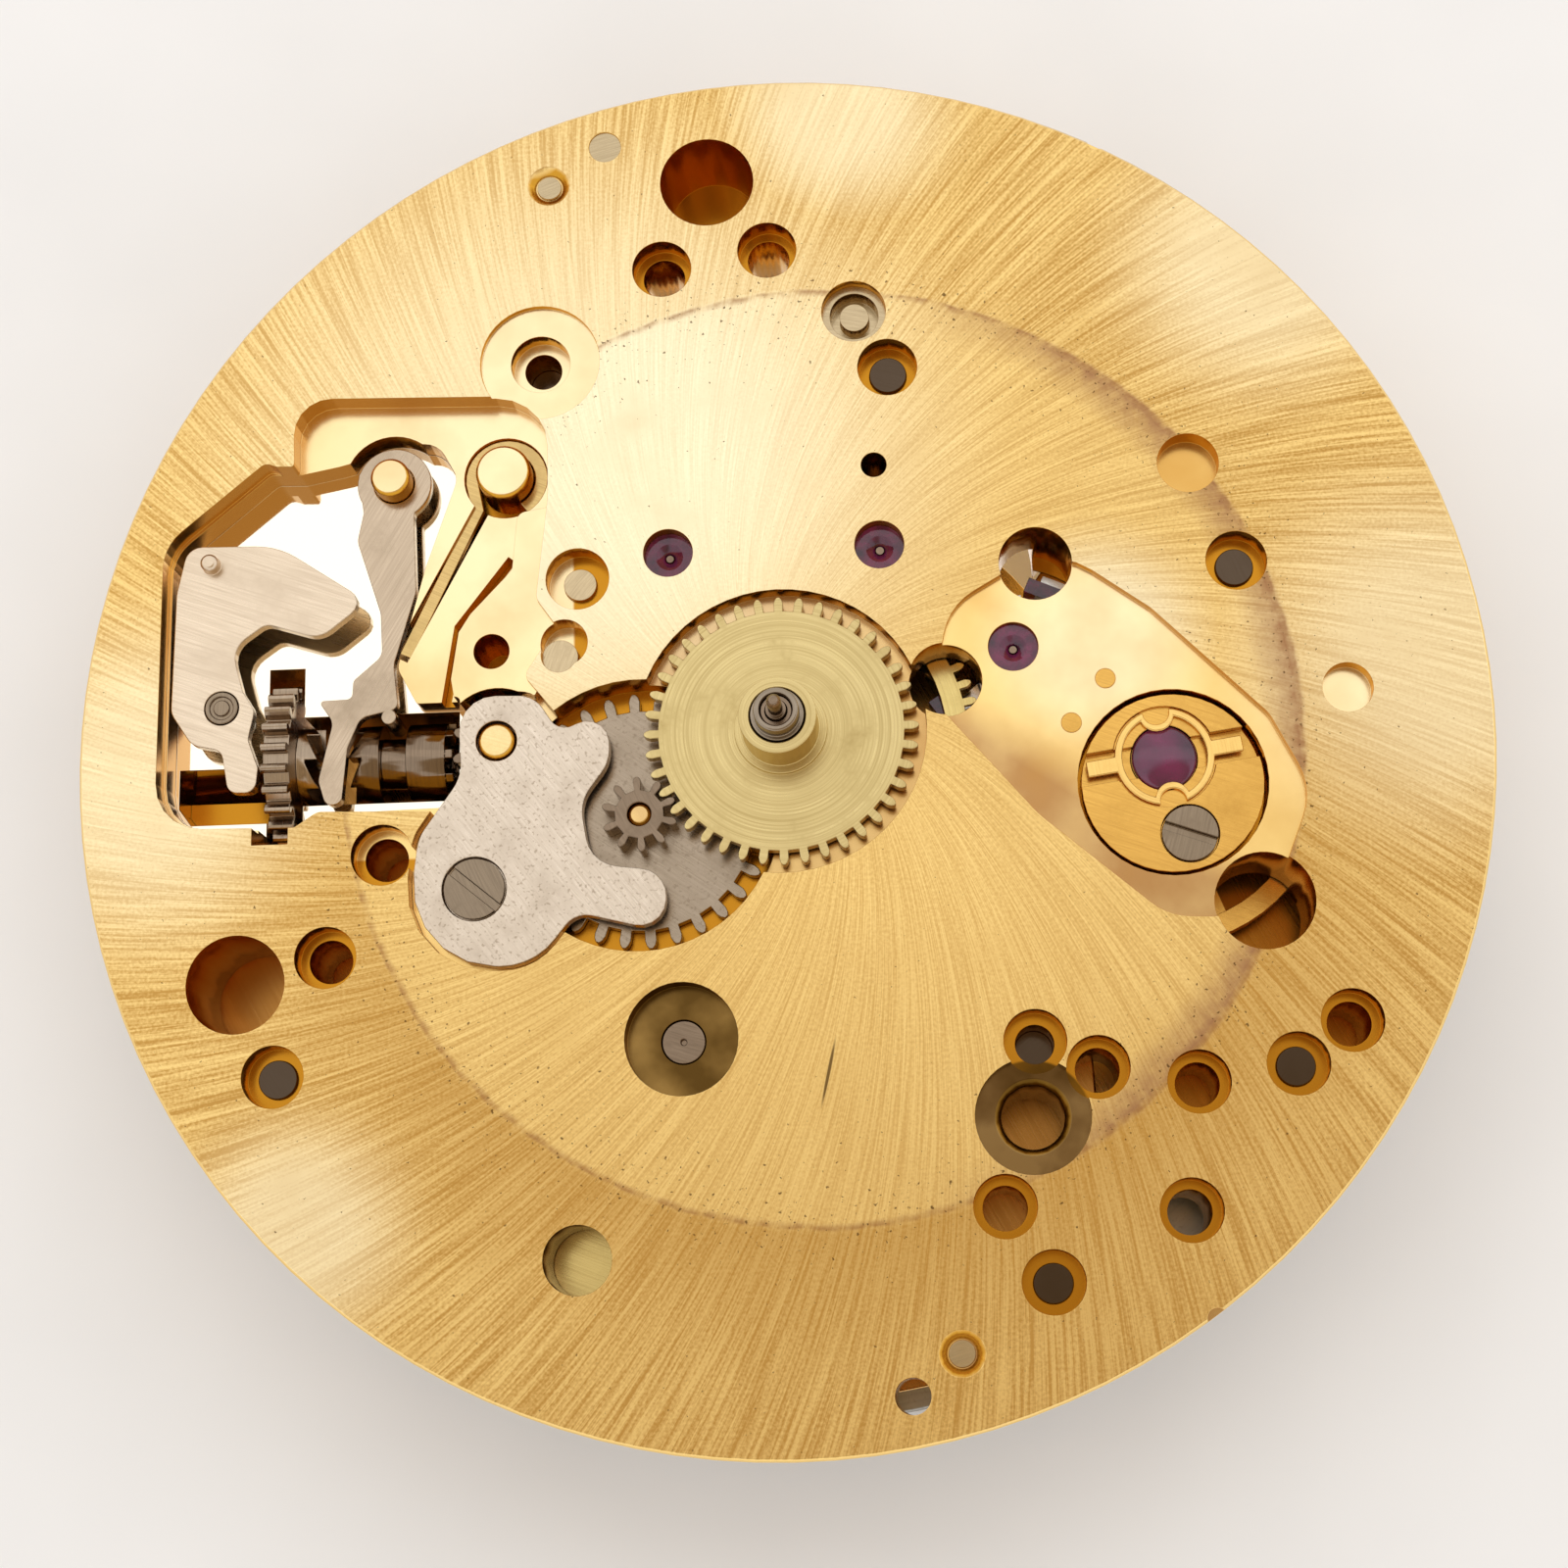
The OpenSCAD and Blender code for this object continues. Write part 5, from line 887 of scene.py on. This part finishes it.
class SubAssembly:
    """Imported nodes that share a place, with their finishes and the rounding of their edges."""

    finishes: Mapping[str, Finish] = {}
    edge_mm: float = 0.02
    # Nodes with broad polished bevels, and those too fine for any rounding
    edges: Mapping[str, float] = {}
    # Corners nearer than this are one. Edges below the first angle are flat, above the second sharp.
    weld_mm: float = 0.0001
    flat_deg: float = 0.3
    sharp_deg: float = 35.0

    def model(self) -> None:
        """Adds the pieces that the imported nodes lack."""

    def build(self) -> None:
        """Dresses the nodes, rounds their edges and adds the further pieces."""
        for node, finish in self.finishes.items():
            obj = FRAME["nodes"][node]
            self.paint(obj, finish)
            self.soften(obj, self.edges.get(node, self.edge_mm))
            LOG.info("%s: %s in %s", type(self).__name__, node, finish.name)
        self.model()

    def paint(self, obj: bpy.types.Object, finish: Finish) -> None:
        """Gives an object a finish through its own material slots.

        Args:
            obj: Object to dress.
            finish: Finish to give it.
        """
        material = bpy.data.materials.get(finish.name) or finish.build()
        for slot in obj.material_slots:
            slot.link = "OBJECT"
            slot.material = material
        if not obj.material_slots:
            obj.data.materials.append(material)

    def soften(self, obj: bpy.types.Object, width: float) -> None:
        """Rounds the sharp edges a little, as a tumbled part has them.

        Args:
            obj: Object to soften.
            width: Width of the rounding, or 0 for none.
        """
        if not width:
            return
        weld = obj.modifiers.new("weld", "WELD")
        weld.merge_threshold = self.weld_mm * MM
        flat = obj.modifiers.new("flat", "DECIMATE")
        flat.decimate_type = "DISSOLVE"
        flat.angle_limit = math.radians(self.flat_deg)
        bevel = obj.modifiers.new("edge", "BEVEL")
        bevel.width = width * MM
        bevel.segments = 2
        bevel.limit_method = "ANGLE"
        bevel.angle_limit = math.radians(self.sharp_deg)
        bevel.use_clamp_overlap = False
        bevel.harden_normals = True

    def keep(self, bm: bmesh.types.BMesh, name: str, finish: Finish, *nodes: str) -> bpy.types.Object:
        """Turns a finished shape into a piece that rides on the movement in the place of nodes.

        Args:
            bm: The shape, which is used up.
            name: Name of the piece.
            finish: Finish to give it.
            nodes: Nodes that the piece stands for.

        Returns:
            The piece.
        """
        bmesh.ops.remove_doubles(bm, verts=bm.verts, dist=self.weld_mm * MM)
        bmesh.ops.recalc_face_normals(bm, faces=bm.faces)
        mesh = bpy.data.meshes.new(name)
        bm.to_mesh(mesh)
        bm.free()
        for polygon in mesh.polygons:
            polygon.use_smooth = True
        obj = bpy.data.objects.new(name, mesh)
        bpy.context.scene.collection.objects.link(obj)
        self.paint(obj, finish)
        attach(obj, BASE)
        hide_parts(*nodes)
        LOG.info("%s: %s modelled in %s", type(self).__name__, name, finish.name)
        return obj


class MainPlate(SubAssembly):
    """The gilt main plate with the pins that are pressed into it."""

    # Small, because long many-cornered faces break under a wider rounding
    edge_mm: float = 0.01

    finishes = {"main_plate": PLATE, "plate_pins": PIN_NICKEL, "banking_pins": GILT_SATIN}


class MotionWork(SubAssembly):
    """Wheels that drive the hands, under their cover."""

    finishes = {
        "hour_wheel": HOUR_BRASS,
        "cannon_pinion": CANNON_STEEL,
        "minute_wheel": WHEEL_STEEL,
        "minute_pinion": PINION_STEEL,
        "motion_cover": COVER_STEEL,
        "setting_wheel": PINION_STEEL,
    }


class KeylessWork(SubAssembly):
    """Winding and setting parts round the stem, with the yoke's spring."""

    edges = {"yoke_spring": 0.0}
    post_at: tuple[float, float] = (-5.55, 5.66)
    coil_r: float = 0.72
    coil_from: float = -60.0
    coil_step: float = 12.24
    coil_steps: int = 20
    leg: tuple[tuple[float, float], ...] = ((-6.15, 5.03), (-7.6, 1.98))
    blade_width: float = 0.26
    blade_low: float = -0.8
    blade_high: float = -0.64
    blade_edge: float = 0.02

    finishes = {
        "winding_pinion": CLUTCH_STEEL,
        "sliding_pinion": PINION_STEEL,
        "setting_lever": LEVER_STEEL,
        "setting_lever_screw": SCREW_STEEL,
        "yoke": YOKE_STEEL,
        "yoke_spring": SPRING_WIRE,
    }

    def model(self) -> None:
        """Draws the yoke's spring as a flat blade that loops round its post."""
        x, y = self.post_at
        turns = [math.radians(self.coil_from + i * self.coil_step) for i in range(self.coil_steps + 1)]
        loop = [(x + self.coil_r * math.cos(t), y + self.coil_r * math.sin(t)) for t in turns]
        bm = drawn([*loop, *self.leg], self.blade_low, self.blade_high, self.blade_width)
        self.soften(self.keep(bm, "yoke_spring_blade", SPRING_WIRE, "yoke_spring"), self.blade_edge)


class ShockSetting(SubAssembly):
    """Dial-side jewels, with the balance's sprung setting in its block."""

    edge_mm: float = 0.015
    edges = {"lower_lyre_spring": 0.03}
    balance_at: tuple[float, float] = (7.53, -0.78)
    # The cap jewel's underside, where its dome begins, and the rounding of its lower rim
    jewel_low: float = -0.6
    dome_low: float = -0.41
    dome_steps: int = 12
    jewel_edge: float = 0.03

    finishes = {
        "plate_jewels": RUBY,
        "lower_shock_block": GILT_SATIN,
        "dial_side_screws": SCREW_STEEL,
        "lower_cap_jewel": RUBY,
        "lower_lyre_spring": GILT_SPRING,
    }

    def model(self) -> None:
        """Turns the cap jewel: a flat underside, a rounded rim and a polished dome."""
        low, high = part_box("lower_cap_jewel")
        r = (high[0] - low[0]) / 2 / MM
        top = high[2] / MM
        rise = top - self.dome_low
        arc = [math.radians(90 * i / self.dome_steps) for i in range(self.dome_steps + 1)]
        dome = [(r * math.cos(t), self.dome_low + rise * math.sin(t)) for t in arc]
        floor, edge = self.jewel_low, self.jewel_edge
        under = [(0.0, floor), (r - edge, floor), (r, floor + edge)]
        bm = turned([*under, *dome], self.balance_at)
        self.keep(bm, "cap_jewel_dome", RUBY_DOME, "lower_cap_jewel")


class Barrel(SubAssembly):
    """The barrel with the mainspring on its arbor."""

    edges = {"mainspring": 0.0}

    finishes = {
        "mainspring": STEEL_SPRING,
        "barrel_drum": WHEEL_BRASS,
        "barrel_cover": WHEEL_BRASS,
        "barrel_arbor": PINION_STEEL,
    }


class GoingTrain(SubAssembly):
    """Wheels and pinions from the centre to the escape wheel."""

    edge_mm: float = 0.01
    edges = {"escape_wheel": 0.0, "escape_pinion": 0.0}

    finishes = {
        **{f"{name}_wheel": WHEEL_BRASS for name in ("centre", "third", "seconds")},
        **{f"{name}_pinion": PINION_STEEL for name in ("centre", "third", "seconds", "escape")},
        "escape_wheel": STEEL_POLISHED,
    }


class Escapement(SubAssembly):
    """The lever, the balance and what carries them."""

    edge_mm: float = 0.01
    edges = {"hairspring": 0.0, "pallet_cock": 0.04}

    finishes = {
        "pallet_arbor": PINION_STEEL,
        "pallet_fork": STEEL_POLISHED,
        "pallet_stones": RUBY,
        "balance_staff": PINION_STEEL,
        "balance_wheel": GILT_SATIN,
        "roller": STEEL_POLISHED,
        "hairspring": STEEL_SPRING,
        "pallet_cock": GILT_BRIDGE,
    }


class Bridges(SubAssembly):
    """Bridges, their jewels and screws, and the winding wheels that lie on them."""

    edges = {"click": 0.0, "train_bridge": 0.05, "barrel_bridge": 0.05, "balance_cock": 0.05}

    finishes = {
        "train_bridge": GILT_BRIDGE,
        "barrel_bridge": GILT_BRIDGE,
        "balance_cock": GILT_COCK,
        "regulator": STEEL_POLISHED,
        "upper_shock_setting": GILT_SATIN,
        "bridge_jewels": RUBY,
        "bridge_screws": BRIDGE_SCREW_STEEL,
        "ratchet_wheel": WINDING_STEEL,
        "ratchet_screw": STEEL_POLISHED,
        "crown_wheel": WINDING_STEEL,
        "click": STEEL_POLISHED,
        "click_spring": STEEL_SPRING,
    }


class AutomaticWork(SubAssembly):
    """The rotor with its weight, and the wheels that pass its turns on."""

    edges = {"automatic_bridge": 0.02, "rotor": 0.05, "rotor_weight": 0.06}

    finishes = {
        "automatic_bridge": GILT_BRIDGE,
        "reversing_wheel_1": STEEL_POLISHED,
        "reversing_wheel_2": STEEL_POLISHED,
        "reduction_wheel": WHEEL_BRASS,
        "rotor": GILT_BRIDGE,
        "rotor_weight": TUNGSTEN,
        "rotor_bearing": STEEL_POLISHED,
        "rotor_screw": STEEL_POLISHED,
    }


@dataclass(frozen=True)
class Studio:
    """Pale table, soft light and the camera at the photograph's angle."""

    lens_mm: float = 63.0
    sensor_mm: float = 36.0
    shift: tuple[float, float] = (-0.0408, -0.0318)
    place_mm: tuple[float, float, float] = (3.1314, -13.2306, 52.4346)
    turn: tuple[float, float, float] = (0.243196, 0.041654, -0.028715)
    table_mm: float = 1200.0
    table: str = "#f6f2ee"
    table_dark: str = "#f2eeea"
    cloud_mm: float = 6.0
    foot_mm: float = 13.5
    gap_mm: float = 0.02
    # What metal shows: a pale room with a long softbox, and a tan part of the room in front
    room: tuple[float, float, float] = (1.12, 1.12, 1.11)
    tan: tuple[float, float, float] = (0.6, 0.47, 0.3)
    tan_side: tuple[float, float, float] = (0.2, -0.36, 0.911)
    tan_span: tuple[float, float] = (0.895, 0.825)
    # A long softbox across the room: where it starts, is full, and ends again, along Y
    strip_rise: tuple[float, float] = (0.13, 0.24)
    strip_fall: tuple[float, float] = (0.33, 0.42)
    strip: float = 0.22
    soft_light: float = 0.8

    def build(self, low: Vector) -> None:
        """Makes the table, the lamps, the world and the camera.

        Args:
            low: Lowest corner of the movement, where the table is.
        """
        self.make_table(low.z - self.gap_mm * MM)
        self.make_lamps()
        self.make_world()
        self.make_camera()
        LOG.info("studio ready")

    def make_table(self, height: float) -> None:
        """Makes the pale table.

        Args:
            height: Height of its top.
        """
        mesh = bpy.data.meshes.new("table")
        bm = bmesh.new()
        bmesh.ops.create_grid(bm, x_segments=1, y_segments=1, size=self.table_mm * MM / 2)
        bmesh.ops.translate(bm, verts=bm.verts, vec=(0, 0, height))
        bm.to_mesh(mesh)
        bm.free()
        obj = bpy.data.objects.new("table", mesh)
        bpy.context.scene.collection.objects.link(obj)
        s = Shader(bpy.data.materials.new("matt_white_board"))
        cloud = s.add("TexNoise", {"Vector": s.point, "Scale": 1 / self.cloud_mm, "Detail": 2.0})
        share = s.add("MapRange", {"Value": cloud, **span(0.3, 0.7)})
        colour = s.add("Mix", blend(share, self.table, self.table_dark), **COLOURS)
        board = s.add("BsdfPrincipled", {"Base Color": colour, "Roughness": 0.7, "IOR": 1.45})
        # Open from below, and under the movement to all but the eye, so that its back is lit and can be seen
        under = s.add("Math", (s.away(0.0, 0.0), self.foot_mm), operation="LESS_THAN")
        seen = s.add("LightPath", (), "Is Camera Ray")
        under = s.add("Math", (under, seen), operation="SUBTRACT", use_clamp=True)
        opened = s.add("Math", (under, s.add("NewGeometry", (), "Backfacing")), operation="MAXIMUM")
        mesh.materials.append(s.close(s.add("MixShader", (opened, board, s.add("BsdfTransparent")))))
        obj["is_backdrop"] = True

    def make_lamps(self) -> None:
        """Hangs a large softbox behind and a weak one in front; metal shows the room instead."""
        for name, place, size, power in (
            ("softbox_behind", (10, 110, 150), (240, 180), 0.11),
            ("softbox_front", (60, -150, 130), (160, 160), 0.03),
        ):
            data = bpy.data.lights.new(name, "AREA")
            data.shape = "RECTANGLE"
            data.size, data.size_y = size[0] * MM, size[1] * MM
            data.energy = power
            lamp = bpy.data.objects.new(name, data)
            lamp.location = Vector(place) * MM
            lamp.rotation_euler = (-Vector(place)).to_track_quat("-Z", "Y").to_euler()
            lamp.visible_glossy = False
            bpy.context.scene.collection.objects.link(lamp)

    def make_world(self) -> None:
        """Makes the room: white to the eye, soft light on dull surfaces, and a lit room in metal."""
        world = bpy.data.worlds.new("studio")
        bpy.context.scene.world = world
        s = Shader(world, "OutputWorld")
        # The same room above and below the table's level, so that the back is lit as the front is
        x, y, z = (s.add("SeparateXYZ", (s.add("TexCoord", (), "Generated"),), axis) for axis in "XYZ")
        side = s.add("CombineXYZ", (x, y, s.add("Math", (z,), operation="ABSOLUTE")))
        toward = s.add("VectorMath", (side, self.tan_side), "Value", operation="DOT_PRODUCT")
        share = s.add("MapRange", {"Value": toward, **span(*self.tan_span)}, **SMOOTH)
        shown = s.add("Mix", blend(share, (*self.tan, 1.0), (*self.room, 1.0)), **COLOURS)
        rise = s.add("MapRange", {"Value": y, **span(*self.strip_rise)}, **SMOOTH)
        fall = s.add("MapRange", {"Value": y, **span(*self.strip_fall, self.strip, 0.0)}, **SMOOTH)
        share = s.add("Math", (rise, fall, 1.0), operation="MULTIPLY_ADD")
        shown = s.add("Mix", blend(1.0, shown, share), **COLOURS, blend_type="MULTIPLY")
        glossy = s.add("LightPath", (), "Is Glossy Ray")
        soft = (self.soft_light, self.soft_light, self.soft_light, 1.0)
        light = s.add("Mix", blend(glossy, soft, shown), **COLOURS)
        seen = [s.add("LightPath", (), name) for name in ("Is Camera Ray", "Is Transmission Ray")]
        white = s.add("Math", seen, operation="MAXIMUM")
        light = s.add("Mix", blend(white, light, (1.0, 1.0, 1.0, 1.0)), **COLOURS)
        s.close(s.add("Background", (light, 1.0)))

    def make_camera(self) -> None:
        """Places the camera that was solved from the plate's own round edge and holes."""
        data = bpy.data.cameras.new("camera")
        data.lens = self.lens_mm
        data.sensor_width = self.sensor_mm
        data.shift_x, data.shift_y = self.shift
        data.clip_start, data.clip_end = 0.001, 5.0
        camera = bpy.data.objects.new("camera", data)
        camera.location = Vector(self.place_mm) * MM
        camera.rotation_euler = self.turn
        bpy.context.scene.collection.objects.link(camera)
        bpy.context.scene.camera = camera


def main() -> None:
    logging.basicConfig(level=logging.INFO, format="%(name)s: %(message)s")
    frame_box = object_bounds()
    bpy.context.scene.view_settings.view_transform = "Standard"
    Studio().build(frame_box[0])
    groups: tuple[SubAssembly, ...] = (
        MainPlate(),
        MotionWork(),
        KeylessWork(),
        ShockSetting(),
        Barrel(),
        GoingTrain(),
        Escapement(),
        Bridges(),
        AutomaticWork(),
    )
    for group in groups:
        group.build()


if __name__ == "__main__":
    main()
